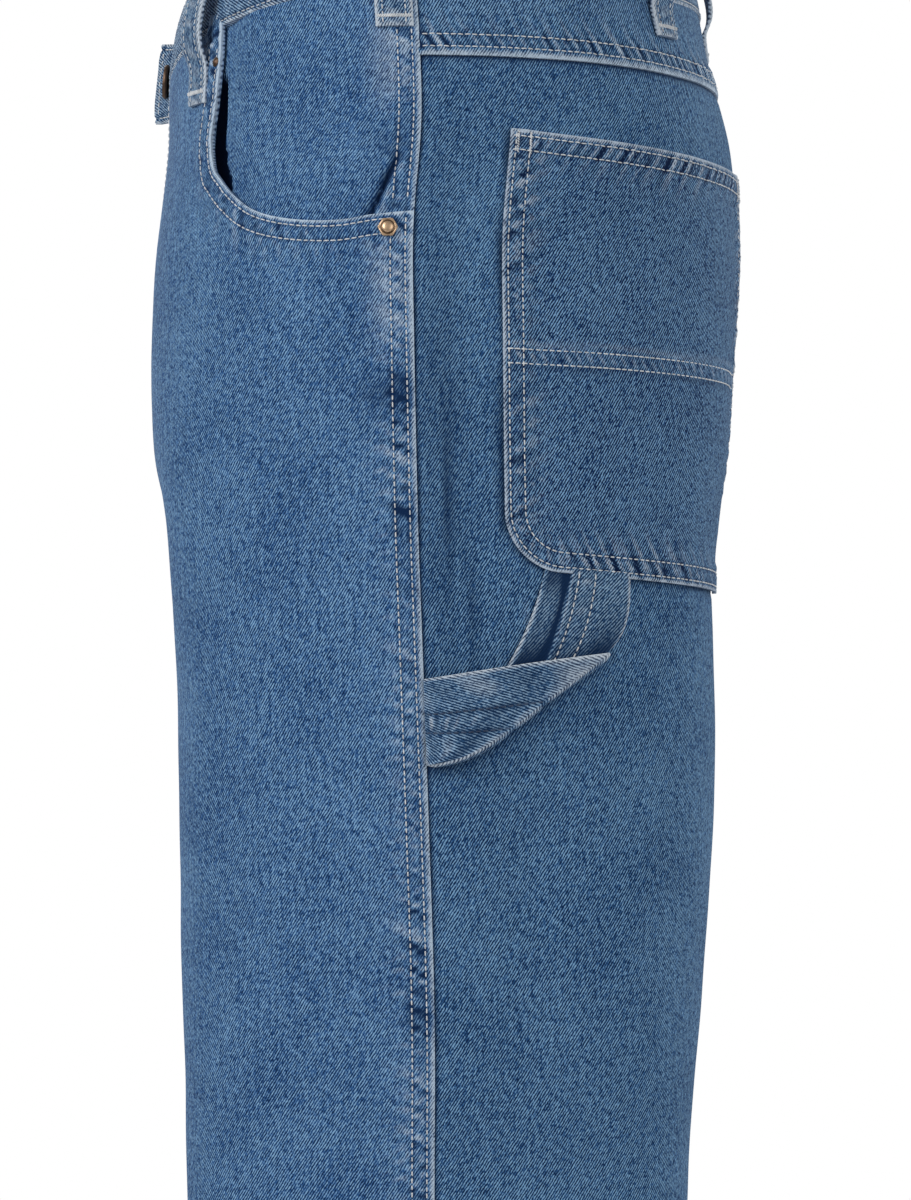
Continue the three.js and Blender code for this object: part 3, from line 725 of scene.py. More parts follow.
def ripple(side, face, arc, z):
    """Slow unevenness of worn cloth, 25 to 80 mm across, a fraction of a millimetre high."""
    k = 1.7 * side + (2.3 if face == "front" else 0.4)
    a = np.sin(z / 17 + arc / 41 + k) * np.sin(arc / 23 - z / 60 + 2 * k)
    b = np.sin(z / 9.3 - arc / 15 + 3 * k) * np.sin(arc / 12 + z / 31 + k)
    return 0.3 * a + 0.13 * b


def mix_forms(a, b, k):
    """Height and wear of two forms, b at k of 1."""
    return a[0] * (1 - k) + b[0] * k, a[1] * (1 - k) + b[1] * k


def far_form(side, face, arc, z):
    """The centre seam, left over right, and below the crotch the inseam, front over back."""
    d = girth(face, z) - arc
    over = seam_form(d + EDGE, -z, SEAM_ROWS, seed=4.1 + side)
    under = under_form(d)
    below = over if face == "front" else under
    above = over if side > 0 else under
    return mix_forms(below, above, smooth((z - CROTCH_Z + 4) / 14))


def hem_form(arc, z, seed):
    """The turned hem: a groove at its one row of stitches and ropy twists below it. Its colour is pale at the
    fold, and darker in the groove and in the twists' hollows as painted shade.
    """
    d = z - HEM_Z
    wave = pucker(arc + 0.8 * d, seed)
    height = 0.35 * wave * bell(d - 5, 5) - 0.4 * bell(d - HEM_ROW, 0.9) - 0.4 * np.clip(1 - d, 0, 1) ** 2
    # Pale at the fold; darker in the groove and the twists' hollows as painted shade.
    wear_and_shade = 0.5 * wave * bell(d - 5, 5) + 0.7 * bell(d, 1.6) - 0.25 * bell(d - HEM_ROW, 1.1)
    return height, wear_and_shade


def mouth_form(side, arc, z):
    """The scoop pocket's edge: a folded rim with two rows of stitches."""
    d, s = distance_where((z > -175) & (arc < 140), MOUTH, arc, z)
    height, wear_and_shade = seam_form(d, s, MOUTH_ROWS, seed=2.2 + side, lap=1.2)
    return height, wear_and_shade + 0.5 * bell(d, 1.5) * smooth((s - 100) / 20)


# Patches along the side seam's strip; the dark one at -224 is painted shade of the dimple beside it.
PATCHES = [
    (-150, 16, 0.3), (-182, 22, 0.5), (-224, 9, -0.62), (-250, 16, 0.25), (-279, 7, -0.42), (-330, 26, 0.1),
    (-375, 30, 0.2), (-420, 26, 0.15), (-500, 8, -0.5), (-540, 30, 0.25), (-640, 60, 0.08), (-800, 90, 0.08),
    (-950, 70, 0.08),
]


def strip_wear_and_shade(arc, z):
    """Paler and darker patches along the side seam's strip: height of each patch, its half length
    and its wear. The dark patch at -224 is painted shade of the dimple beside the seam."""
    return flat_bell(arc - 5.5, 7.5) * sum(rub_and_shade * bell(z - level, size) for level, size, rub_and_shade in PATCHES)


def front_relief(side, arc, z):
    """Height, and wear with painted shade, of a front leg, with painted shade in the dimple beside the side
    seam and in the fly's stitch grooves.
    """
    sides = seam_form(arc + EDGE, -z, SEAM_ROWS, seed=0.7 + side)
    far = far_form(side, "front", arc, z)
    mouth = mouth_form(side, arc, z)
    hem = hem_form(arc, z, seed=1.2 + side)
    height = np.maximum(sides[0], mouth[0]) + far[0] + hem[0] + ripple(side, "front", arc, z)
    wear_and_shade = sides[1] + mouth[1] + far[1] + hem[1] + strip_wear_and_shade(arc, z)
    # Darker in the dimple beside the side seam, at -224: painted shade.
    wear_and_shade = wear_and_shade + 0.22 * bell(arc - 15, 5) * bell(z + 172, 32) - 0.45 * bell(arc - 17, 7) * bell(z + 224, 9)
    if side > 0:
        d = girth("front", z) - arc
        over, below = np.maximum(d - FLY_END, 0), np.minimum(z - FLY_TURN_Z, 0)
        turn = np.hypot(over / (FLY_WIDE - FLY_END), below / FLY_ROUND)
        line = np.where(z > FLY_TURN_Z, d - FLY_WIDE, (turn - 1) * 28)
        row = (bell(line, 0.9) + bell(line + FLY_GAUGE, 0.9)) * (z > FLY_LOW_Z)
        height = height - 0.35 * row + 0.2 * bell(line + 2.5, 4) * pucker(z, 5.0) * (z > FLY_LOW_Z)
        # Darker in the fly's stitch grooves: painted shade.
        wear_and_shade = wear_and_shade - 0.2 * row
    return height, wear_and_shade


def back_relief(side, arc, z):
    """Height, and wear with painted shade, of a back leg: it runs under the front, and under the yoke.
    Painted shade darkens it beside those edges, along the trough near the side seam, in three creases, beside
    the back pocket and under the hammer loop.
    """
    top = under_form(yoke_seam_z(share_of_arc("back", z, arc)) - z)
    hem = hem_form(arc, z, seed=3.2 + side)
    height, wear_and_shade = joined(under_form(arc), far_form(side, "back", arc, z), hem, top)
    height = height + ripple(side, "back", arc, z)
    wear_and_shade = wear_and_shade + 0.12 * pucker(-z, 0.7 + side) * bell(arc - 2, 7)
    # Painted shade along the trough beside the side seam, and a little over the whole panel.
    wear_and_shade = wear_and_shade - 0.30 * bell(arc - 12, 11) * bell(z + 235, 110) - 0.05
    if side > 0:
        # Painted shadow under the hammer loop's band.
        d = distance_where((z > -400) & (z < -325) & (arc < 110), FOLD_LINE, arc, z)[0]
        wear_and_shade = wear_and_shade - 0.75 * bell(d, 5.5)
    # Three creases: each darkened in its middle as painted shade, with a paler strip beside it.
    for place, lean, level, size in ((23, 0.05, -322, 27), (14, 0.02, -266, 30), (52, -0.1, -318, 16)):
        line = arc - place - lean * (z - level)
        height = height - 0.6 * bell(line, 3.2) * bell(z - level, size)
        wear_and_shade = wear_and_shade + (0.2 * bell(line + 4, 2.4) - 0.42 * bell(line, 2.4)) * bell(z - level, size)
    # Painted shadow in a line beside the back pocket's edge.
    near_pocket = (z > -322) & (arc > 30) & (z < -96) & (arc < 222)
    outside = distance_where(near_pocket, POCKET_EDGE, arc, z)[0]
    return height - 0.4 * bell(outside, 1.6), wear_and_shade - 0.7 * bell(outside, 1.9)


YOKE_ROWS = (3.9, 9.5)


def yoke_relief(side, arc, z):
    """Height, and wear with painted shade, of a yoke: its lower edge laps over the back leg, and painted
    shade darkens its grooves and the cloth beside the edges that lap over it.
    """
    share = np.clip(share_of_arc("back", z, arc), 0, 1)
    up = z - yoke_seam_z(share)
    low = seam_form(up, arc, YOKE_ROWS, seed=1.9 + side, rib=0.8)
    # The seam's grooves and the cloth beside the edges over it are darkened as painted shade.
    height, wear_and_shade = joined(low, under_form(arc), far_form(side, "back", arc, z))
    return height + ripple(side, "back", arc, z), wear_and_shade + 0.03 + 0.25 * bell(up - 2, 2.4)


def facing_relief(side, arc, z):
    """Height, and wear with painted shade, of a hip facing: stitched at the side seam, sunk behind the mouth.
    Painted shade darkens the gape behind the mouth and the pinched fold near the rivet.
    """
    d, s = distance_to(MOUTH, arc, z)
    flat_part = MOUTH[MOUTH[:, 0] < 100]
    low = z < np.interp(arc, flat_part[:, 0], flat_part[:, 1])
    inside = np.where(low | (arc > 108), -d, d)
    gape = 6.0 * smooth((s - 96) / 24) * (1 - smooth((s - 134) / 34))
    open_ = smooth(gape / 2.5)
    drop = 2.8 * (1 - smooth((inside - 2) / 22)) + 7.5 * open_ * (1 - smooth((inside - gape + 1.2) / 2.6))
    sides = seam_form(arc + EDGE, -z, SEAM_ROWS, seed=0.7 + side)
    line = arc - 9.2 - (-118 - z) * 0.42
    along = smooth((-114 - z) / 7) * (1 - smooth((-z - 150) / 8))
    pinch = bell(line, 1.9) * along
    height = sides[0] * (1 - smooth((-z - 140) / 4)) - drop * smooth(arc / 12) + ripple(side, "front", arc, z)
    height = height - 3.2 * pinch + 1.1 * along * bell(line + 4, 2.6)
    # Darker in the pinched fold as painted shade.
    wear_and_shade = sides[1] + 0.3 * bell(arc - 15, 7) * bell(z + 72, 22) - 1.25 * pinch
    # Dark inside the gape behind the mouth: painted shade.
    wear_and_shade = wear_and_shade - 1.5 * open_ * (inside < gape)
    # Darker round the fold below the mouth's upright part as painted shade, with a paler ridge beside the
    # fold.
    wear_and_shade = wear_and_shade - 0.35 * bell(arc - 12, 9) * bell(z + 112, 12) + 0.35 * along * bell(line + 3.6, 1.6)
    wear_and_shade = wear_and_shade + 0.35 * flat_bell(arc - 5.5, 7) * (bell(z + 62, 9) + bell(z + 80, 10))
    return height, wear_and_shade


# %% Grids of the leg panels
REFERENCE_Z = -200.0
FINE, FINE_STEP = 14.0, 1.2
ROW_STEP = 2.6
MOUTH_BEND = 95.0
MOUTH_CROWDING = (0.9, 0.62)
KEEP_EVERY = {"front": 3, "back": 1}
LEG_NAMES = {1: "left", -1: "right"}


def columns_of(face, first, last, step):
    """Distances of a panel's columns at the reference height, close together beside both seams."""
    around = float(girth(face, REFERENCE_Z))
    near = np.arange(EDGE, FINE, FINE_STEP)
    middle = np.linspace(FINE, around - FINE, int((around - 2 * FINE) / step) + 1)
    return np.concatenate([first, near, middle, around - near[::-1], around + np.array(last)])


def arc_at(face, column, z):
    """Where a column runs at another height: it keeps its distance from a seam beside it, and
    the middle of the panel shares out what is left."""
    top = float(girth(face, REFERENCE_Z))
    share = np.clip(share_of_arc(face, REFERENCE_Z, column), 0, 1)
    near = smooth((column - FINE) / 30)
    far = smooth((top - column - FINE) / 30)
    arc = column * (1 - near) + arc_of_share(face, z, share) * near
    return (girth(face, z) - top + column) * (1 - far) + arc * far


def leg_rows(top):
    """Heights of the rows from a level to the hem, close together in the hem."""
    even = np.linspace(top, HEM_Z + 13, int((top - HEM_Z - 13) / ROW_STEP) + 1)
    return np.concatenate([even, np.arange(HEM_Z + 12, HEM_Z - 0.1, -1.0)])


def front_top_grid(columns):
    """Rows of the part of a front leg above the reference height. They start on the mouth's edge
    or under the waistband, run square to that edge for 14 mm, and bend down to the columns. The
    mouth's level part and its upright one get fewer columns than their length."""
    around = columns[-1] - EDGE
    corner = MOUTH[-1]
    band_arc = np.linspace(corner[0], float(girth("front", FRONT_DIP_Z)) + EDGE, 160)
    share = np.clip(share_of_arc("front", BAND_LEVEL["front"], band_arc), 0, 1)
    band_z = band_seam_z("front", share) + UNDER_BAND
    band_z += (corner[1] - band_z[0]) * np.exp(-(band_arc - corner[0]) / 6)
    edge = np.vstack([MOUTH, path_of(band_arc, band_z)[1:]])
    steps = lengths_along(edge)
    level, upright = MOUTH_CROWDING
    weight = np.where(steps < MOUTH_LENGTH, np.where(steps < MOUTH_BEND, level, upright), 1.0)
    weight[steps < FINE] = 1.0
    gain = np.concatenate([[0], np.cumsum(np.diff(steps) * weight[1:])])
    inner = (gain - FINE) * (around - FINE) / (gain[-1] - FINE) + FINE
    low = np.where(gain < FINE, gain - EDGE, inner)
    start_step = np.interp(columns, low, steps)
    start = line_at(start_step, steps, edge)
    soft = soften(np.pad(path_normals(edge), ((30, 30), (0, 0)), mode="edge"), 61)
    turn = line_at(start_step, steps, soft)
    turn /= np.linalg.norm(turn, axis=1, keepdims=True)
    turn = np.where(columns[:, None] < FINE, [[0.0, -1.0]], turn)
    depth = np.arange(0, 14.1, 1.1)
    first = start[None] + depth[:, None, None] * turn[None]
    t = np.linspace(0, 1, 19)[1:, None, None]
    a = first[-1]
    b = path_of(columns, REFERENCE_Z)
    length = np.linalg.norm(b - a, axis=1, keepdims=True)
    down = np.array([[0.0, -1.0]])
    rest = (2 * t**3 - 3 * t**2 + 1) * a + (t**3 - 2 * t**2 + t) * turn * length
    rest = rest + (3 * t**2 - 2 * t**3) * b + (t**3 - t**2) * down * length
    grid = np.concatenate([first, rest])
    arc, z = grid[..., 0], grid[..., 1]
    far = smooth((around - columns - FINE) / 30)[None, :]
    return arc * far + (girth("front", z) - around + columns) * (1 - far), z


def leg_panel(side, face, relief, columns, top):
    """One leg panel. top gives the rows above the reference height as distances and heights.
    Below it only some columns go on, and the faces between take in the points left out."""
    around = float(girth(face, REFERENCE_Z))
    inner_part = (columns > FINE + 1) & (columns < around - FINE - 1)
    kept = np.nonzero(~inner_part | (np.cumsum(inner_part) % KEEP_EVERY[face] == 0))[0]
    heights = leg_rows(REFERENCE_Z - ROW_STEP)
    lower = np.broadcast_to(heights[:, None], (len(heights), len(kept)))
    outer, inner, uv, wear_and_shade = [], [], [], []
    for arc, z in (top, (arc_at(face, columns[kept][None, :], lower), lower)):
        height, rub_and_shade = relief(side, arc, z)
        hem = 1.3 * (1 - smooth((z - HEM_Z - 11.5) / 1.0))
        outer.append(cloth(side, face, arc, z, height))
        inner.append(cloth(side, face, arc, z, np.minimum(height, 0) - CLOTH - hem))
        uv.append(weave_uv(side, face, arc, z).reshape(-1, 2))
        wear_and_shade.append(rub_and_shade.ravel())
    rows, cols = top[0].shape
    above = np.arange(rows * cols).reshape(rows, cols)
    below = np.arange(lower.size).reshape(lower.shape) + rows * cols
    faces = grid_faces(rows, cols) + grid_faces(*lower.shape, rows * cols)
    for c in range(len(kept) - 1):
        left_out = above[-1, kept[c]:kept[c + 1] + 1]
        faces.append([*below[0, c:c + 2].tolist(), *left_out[::-1].tolist()])
    rim = np.concatenate([above[0, 1:-1], above[:, -1], below[:, -1], below[-1, -2:0:-1], below[::-1, 0],
                          above[::-1, 0]])
    points = [np.concatenate([grid.reshape(-1, 3) for grid in grids]) for grids in (outer, inner)]
    name = f"{face}_leg_{LEG_NAMES[side]}"
    return shell(name, *points, np.concatenate(uv), np.concatenate(wear_and_shade), faces, rim), cut_of(*outer)


def top_rows(face, columns, upper):
    """Rows from an upper edge, given by share, down to the reference height."""
    share = np.clip(share_of_arc(face, upper(0.5), arc_at(face, columns, upper(0.5))), 0, 1)
    start = upper(share)
    count = int((start.max() - REFERENCE_Z) / ROW_STEP)
    close = np.arange(0, 9, 1.0) / (start.max() - REFERENCE_Z)
    t = np.concatenate([close, np.linspace(close[-1], 1, count)[1:]])[:, None]
    z = start[None, :] * (1 - t) + REFERENCE_Z * t
    return arc_at(face, columns[None, :], z), z


# %% Make the leg panels
front_columns = columns_of("front", [-EDGE], [0.0, EDGE], step=1.9)
back_columns = columns_of("back", [-7.0, -1.4, -0.8, -0.2], [0.0, 0.2, 0.8, 1.4, 7.0], step=4.6)
for side, word in LEG_NAMES.items():
    front_grid = front_top_grid(front_columns)
    piece, cut = leg_panel(side, "front", front_relief, front_columns, front_grid)
    sew_piece(piece, f"front_{word}", DENIM, cut)
    back_grid = top_rows("back", back_columns, lambda share: yoke_seam_z(share) + 6)
    piece, cut = leg_panel(side, "back", back_relief, back_columns, back_grid)
    sew_piece(piece, f"back_{word}", DENIM_BACK_WITH_PAINTED_SHADE, cut)

# %% Yokes, hip facings and the fly shield
def plain_piece(name, side, face, arc, z, relief, out=0.0):
    """Shell over one grid of distances and heights, on a leg's cloth."""
    height, wear_and_shade = relief(side, arc, z)
    outer = cloth(side, face, arc, z, out + height)
    inner = cloth(side, face, arc, z, out + np.minimum(height, 0.4) - CLOTH)
    return shell(name, outer, inner, weave_uv(side, face, arc, z), wear_and_shade), cut_of(outer)


YOKE_LEVEL = -55.0
YOKE_ARCS = np.concatenate([[-7, -1.4, -0.8, -0.2], np.arange(EDGE, FINE, FINE_STEP)])
for side, word in LEG_NAMES.items():
    t = np.concatenate([np.linspace(0, 0.6, 9)[:-1], np.linspace(0.6, 1, 16)])[:, None]
    around = float(girth("back", YOKE_LEVEL))
    middle = np.linspace(FINE, around - FINE, 150)[1:-1]
    reach = np.concatenate([YOKE_ARCS, middle, around - YOKE_ARCS[::-1]])
    share = np.clip(share_of_arc("back", YOKE_LEVEL, reach), 0, 1)[None, :]
    z = (band_seam_z("back", share) + UNDER_BAND) * (1 - t) + yoke_seam_z(share) * t
    whole = girth("back", z)
    arc = np.where(reach > around - FINE, whole - around + reach, reach * (whole / around))
    arc = np.where(reach < FINE, reach, arc)
    piece, cut = plain_piece(f"back_yoke_{word}", side, "back", arc, z, yoke_relief)
    sew_piece(piece, f"yoke_{word}", DENIM_BACK_WITH_PAINTED_SHADE, cut)

    reach = np.concatenate([[-EDGE], np.arange(EDGE, FINE, FINE_STEP), np.arange(FINE, 128, 2.2)])[None, :]
    share = np.clip(share_of_arc("front", BAND_LEVEL["front"], reach), 0, 1)
    t = np.linspace(0, 1, 56)[:, None]
    z = (band_seam_z("front", share) + UNDER_BAND) * (1 - t) - 166 * t
    piece, cut = plain_piece(f"pocket_facing_{word}", side, "front", reach + 0 * z, z, facing_relief)
    sew_piece(piece, f"hip_facing_{word}", DENIM, cut)


def shield_relief(side, arc, z):
    """The fly shield lies flat behind the centre front."""
    return ripple(side, "front", arc, z) * 0.5, 0.1 + 0 * z


across = np.linspace(-20, 20, 21)[None, :]
z = np.linspace(float(band_seam_z("front", 1.0)) + UNDER_BAND, -200, 50)[:, None] + 0 * across
arc = girth("front", z) + across
piece, cut = plain_piece("fly_facing", 1, "front", arc, z, shield_relief, out=-2.9)
sew_piece(piece, "fly_shield", DENIM_BACK_WITH_PAINTED_SHADE, cut)

# %% [markdown]
# ## Waistband
# One strip goes from the wearer's left end, round the back, to the right end under it.

# %% Waistband
BAND_PROUD = 0.8
BAND_THICK = 3.0
BAND_ROW = 2.6
QUARTER = {face: float(girth(face, level)) for face, level in BAND_LEVEL.items()}
TAB_REACH = 14.0
TAB_STATIONS = 7
TAB_LIFT = 1.6
TAB_CURL = 9.0
UNDER_DROP = 2.4


def band_relief(s, up):
    """A row of stitches near each edge, roping along the edges, and rounded rims."""
    low = seam_form(up, s, (BAND_ROW, BAND_ROW), seed=6.1, lap=0.0, rope=0.17)
    high = seam_form(BAND_HEIGHT - up, s, (BAND_ROW, BAND_ROW), seed=7.3, lap=0.0, rope=0.15)
    waves = 0.25 * np.sin(s / 19) * np.sin(s / 47 + 1)
    return low[0] + high[0] + waves, 0.6 * (low[1] + high[1]) + 0.05 * np.sin(s / 31)


def band_stations():
    """Places round the waist from the tab on the left to the end under it, each a side, a face
    and a distance from that side seam."""
    front, back = (np.linspace(0, around, int(around / 2.3)) for around in QUARTER.values())
    tab = QUARTER["front"] + np.linspace(TAB_REACH, 2, TAB_STATIONS)
    rows = [(1, "front", a) for a in (*tab, *front[::-1])]
    rows += [(1, "back", a) for a in back[1:]] + [(-1, "back", a) for a in back[-2::-1]]
    return rows + [(-1, "front", a) for a in (*front[1:], *tab[::-1])]


band_rows = band_stations()
ups = np.concatenate([np.arange(0, 5, 0.9), np.linspace(5.4, 32.6, 13), np.arange(33.5, 38.1, 0.9)])
ups[-1] = BAND_HEIGHT
outer, inner, uv, wear_and_shade = [], [], [], []
length, last = 0.0, None
BAND_LENGTHS = []
for k, (side, face, arc) in enumerate(band_rows):
    share = float(share_of_arc(face, BAND_LEVEL[face], min(arc, QUARTER[face])))
    beyond = max(arc - QUARTER[face], 0.0)
    z = band_seam_z(face, share) + 0.15 + ups
    place = arc_of_share(face, z, share) + beyond
    from_front = QUARTER["front"] - arc if face == "front" else FAR_OFF
    near_front = float(1 - smooth((from_front - 4) / 26))
    lift = (TAB_LIFT if k < len(band_rows) / 2 else -UNDER_DROP) * near_front
    if k < TAB_STATIONS:
        lift += TAB_CURL * (beyond / TAB_REACH) ** 1.4
    low_point = cloth(side, face, place[:1], z[:1])
    length += 0.0 if last is None else float(np.linalg.norm(low_point - last))
    last = low_point
    BAND_LENGTHS.append(length)
    height, rub_and_shade = band_relief(length, ups)
    outer.append(cloth(side, face, place, z, BAND_PROUD + lift + height))
    inner.append(cloth(side, face, place, z, BAND_PROUD + lift + np.minimum(height, 0) - BAND_THICK))
    uv.append(np.stack([300.0 - ups, np.full(len(ups), length)], 1))
    wear_and_shade.append(rub_and_shade + 0.35 * math.exp(-abs(length - 0.5)) + 0.06)
outer, inner = np.stack(outer, 1), np.stack(inner, 1)
piece = shell("waist_band", outer, inner, np.stack(uv, 1), np.stack(wear_and_shade, 1))
sew_piece(piece, "waistband", DENIM_LIGHT, cut_of(outer))
BAND_OUTER, BAND_INNER = outer, inner
print("waistband length, mm:", round(length))

# %% [markdown]
# ## Back pockets
# Each patch pocket has a turned hem along its top, two rows of stitches round its other sides,
# and two across its middle. Its lower corners are round.

# %% Back pockets
POCKET_ROWS = (2.5, 9.0)
POCKET_HEM_ROWS = (3.1, 9.6)
GAUGE = 6.4
POCKET_LIFT = 1.6


def pocket_middle_z(arc):
    """Height of the upper of the two rows across the middle."""
    return -203.5 - 6.0 * pocket_across(arc)


def pocket_relief(side, arc, z):
    """Turned edges, the hem along the top, the rows across, and a soft fullness."""
    d, s = distance_to(POCKET_EDGE, arc, z)
    edge = seam_form(d, s, POCKET_ROWS, seed=0.9 + side, lap=0.9, rope=0.3, rib=0.5)
    down = pocket_top_z(arc) - z
    hem = seam_form(down, arc, POCKET_HEM_ROWS, seed=3.4 + side, lap=0.9, rope=0.3, rib=0.8)
    low = z - pocket_middle_z(arc)
    rows = bell(low, 0.8) + bell(low + GAUGE, 0.8)
    between_rows = low + GAUGE / 2
    height = np.maximum(edge[0], hem[0]) - 0.4 * rows + 0.22 * pucker(arc, 8.1) * bell(between_rows, 3.5)
    height = height + 0.9 * smooth((d - 10) / 30) * smooth((down - 6) / 40) + ripple(side, "back", arc, z)
    height = height + 0.25 * bell(low - 2.2, 1.6)
    wear_and_shade = edge[1] + hem[1] * (d > 1.5) + 0.1 * bell(d - 6, 7) + 0.3 * bell(down - 1.5, 2.2)
    # The grooves of the rows across are darkened as painted shade; a darker line runs just below the lower
    # row.
    wear_and_shade = wear_and_shade - 0.25 * rows - 0.45 * bell(low + 8, 1.1) + 0.25 * bell(low - 2.2, 1.3)
    ribs = 0.3 * pucker(arc, 8.1) + 0.4 * np.sin((arc + 0.7 * low) * 1.15)
    return height, wear_and_shade + ribs * bell(between_rows, 3)


fine_steps = np.arange(0, FINE, 1.1)
for side, word in LEG_NAMES.items():
    u = np.linspace(FINE, POCKET_WIDE - FINE, 88)[:-1]
    u = np.concatenate([fine_steps, u, POCKET_WIDE - fine_steps[::-1]])[None, :] / POCKET_WIDE
    d = np.concatenate([fine_steps, np.linspace(FINE, 168, 66)[:-1], np.linspace(168, 183, 14)]) / POCKET_TALL
    bottom = 1 - CORNER_SHARE * (1 - np.sin(np.linspace(0.2, math.pi / 2, 24)))
    d = np.concatenate([d[d < bottom[0] - 0.004], bottom])[:, None]
    arc, z = pocket_place(u, d)
    piece, cut = plain_piece(f"patch_pocket_{word}", side, "back", arc, z, pocket_relief, out=POCKET_LIFT)
    sew_piece(piece, f"back_pocket_{word}", DENIM_POCKET, cut)

# %% [markdown]
# ## Hammer loop
# A band folded in three lengthwise leaves the left side seam, turns back on a slant, and goes
# up behind the pocket's lower edge. Each of its long edges has a start, a fold and an end.

# %% Hammer loop
def between(a, b, w):
    """The point a share w of the way from a to b."""
    return np.array(a, float) + (np.array(b, float) - np.array(a, float)) * np.asarray(w)[..., None]


def at_share(line, w):
    """Point of a line at a share of its points."""
    return line_at(w * (len(line) - 1), np.arange(len(line)), line)


def behind_place(b, w):
    """Place on the flat cloth of the band's part behind, b from its fold, 0, to its end, 1."""
    fold = at_share(FOLD_LINE, w)
    end_arc = HAMMER_LOW["end"] + (HAMMER_HIGH["end"] - HAMMER_LOW["end"]) * w
    end = path_of(end_arc, pocket_low_z(end_arc) + 2.5)
    b = b[..., None]
    return fold * (1 - b) ** 2 + 2 * b * (1 - b) * between(*HAMMER_BOW, w) + end * b**2


def hammer_point(t, w, offset):
    """Place on the band: t from 0 to 1 is the front part, to 2 the turn, to 3 the part behind.
    w goes from its lower edge, 0, to its upper one, 1, and offset is out of its middle."""
    t, w, offset = as_grids(t, w, offset)
    start = between(HAMMER_LOW["start"], HAMMER_HIGH["start"], w)
    fold, away = at_share(FOLD_LINE, w), at_share(FOLD_AWAY, w)
    height = HAMMER_LOW["height"] + (HAMMER_HIGH["height"] - HAMMER_LOW["height"]) * w
    rest = HAMMER_LOW["rest"] + (HAMMER_HIGH["rest"] - HAMMER_LOW["rest"]) * w
    a = np.clip(t, 0, 1) ** 1.3
    run = np.linalg.norm(fold - start, axis=-1)
    level = 1.7 + 8.4 * (1 - np.exp(-run * a / 7))
    height = np.minimum(height, 1.9 + 8.4 * (1 - np.exp(-run / 7)))
    turn = math.pi * np.clip(t - 1, 0, 1)
    radius = (height - rest) / 2
    b = np.clip(t - 2, 0, 1)
    first = start + (fold - start) * a[..., None]
    sag = 1.2 * np.sin(math.pi * a) * (1 - w) - 0.8 * np.sin(math.pi * a) * w
    first = first - path_of(0, sag)
    place = np.where(t[..., None] <= 1, first, fold + (TURN_REACH * np.sin(turn))[..., None] * away)
    place = np.where(t[..., None] > 2, behind_place(b, w), place)
    lift = np.where(t <= 1, level + (height - level) * smooth(a), rest + radius * (1 + np.cos(turn)))
    lift = np.where(t > 2, rest + (1.5 - rest) * b, lift)
    slide = offset * np.sin(turn)
    return cloth(1, "back", place[..., 0] + slide * away[..., 0], place[..., 1] + slide * away[..., 1],
                 lift + offset * np.cos(turn))


HAMMER_ROWS = (0.36, 0.575)
HAMMER_BACK_ROWS = (0.385, 0.577)
HAMMER_WIDE = 40


def hammer_relief(t, w):
    """The band's outer face in front: rounded edges, two grooves, and ripples between them."""
    across = (w - 0.47) * HAMMER_WIDE
    s = t * 60 + w * 8
    wave = pucker(s, 2.6)
    rows = sum(bell((w - row) * HAMMER_WIDE, 0.9) for row in HAMMER_ROWS)
    edge = np.minimum(w, 1 - w) * HAMMER_WIDE
    twist = np.sin(s / 5 + w * 9) * bell(edge - 6, 6)
    height = 0.4 * wave * bell(across, 5) - 0.5 * rows + 0.1 * bell(np.abs(across) - 6.5, 1.6)
    height = height + 0.2 * twist - 0.5 * np.clip(1.2 - edge, 0, 1.2) ** 2
    # Pale at the rubbed edges, darker in the two grooves as painted shade.
    wear_and_shade = 1.0 * bell(edge, 1.0) + 0.7 * wave * bell(across, 4) - 0.6 * rows
    wear_and_shade = wear_and_shade + 0.5 * bell(t - 1.08, 0.14) - 0.3 * bell(t - 0.75, 0.2) * smooth((0.8 - w) / 0.3)
    return height, wear_and_shade + 0.3 * twist - 0.02


def hammer_back_relief(t, w):
    """Its other face, seen behind: one fold lies over the other along a line. Painted shade darkens it beside
    that line, in its grooves, near its end where the under layer is pinched, and where the band's front part
    stands over it.
    """
    step = smooth((w - 0.29) * 60)
    rows = sum(bell((w - row) * HAMMER_WIDE, 0.9) for row in HAMMER_BACK_ROWS)
    edge = np.minimum(w, 1 - w) * HAMMER_WIDE
    height = -1.1 * (1 - step) - 0.4 * rows - 0.4 * np.clip(1.2 - edge, 0, 1.2) ** 2
    wear_and_shade = 0.9 * bell(edge, 1.0) + 0.8 * bell((w - 0.303) * HAMMER_WIDE, 0.8)
    # Painted shadow beside the edge of the fold that lies over.
    wear_and_shade = wear_and_shade - bell((w - 0.265) * HAMMER_WIDE, 1.8)
    place = behind_place(np.clip(t - 2, 0, 1) + 0 * w, w + 0 * t)
    rise = np.maximum(place[..., 1] + 350 - 0.14 * place[..., 0], 0)
    # Painted shade where the band's front part stands over this part.
    shade = 0.5 * bell(rise, 7) + 0.45 * bell(rise, 17) * smooth((w - 0.6) * 5)
    shade = shade + 0.5 * bell(rise, 22) * (1 - step)
    # Darker in the grooves and near the end of the under layer, where it is pinched: painted shade.
    wear_and_shade = wear_and_shade - 0.5 * rows - 0.8 * smooth((t - 2.8) * 6) * (1 - step) - shade * (edge > 1.5)
    wave = pucker(t * 60, 1.1)
    return height + 0.2 * wave, wear_and_shade + 0.35 * wave * bell((w - 0.48) * HAMMER_WIDE, 4)


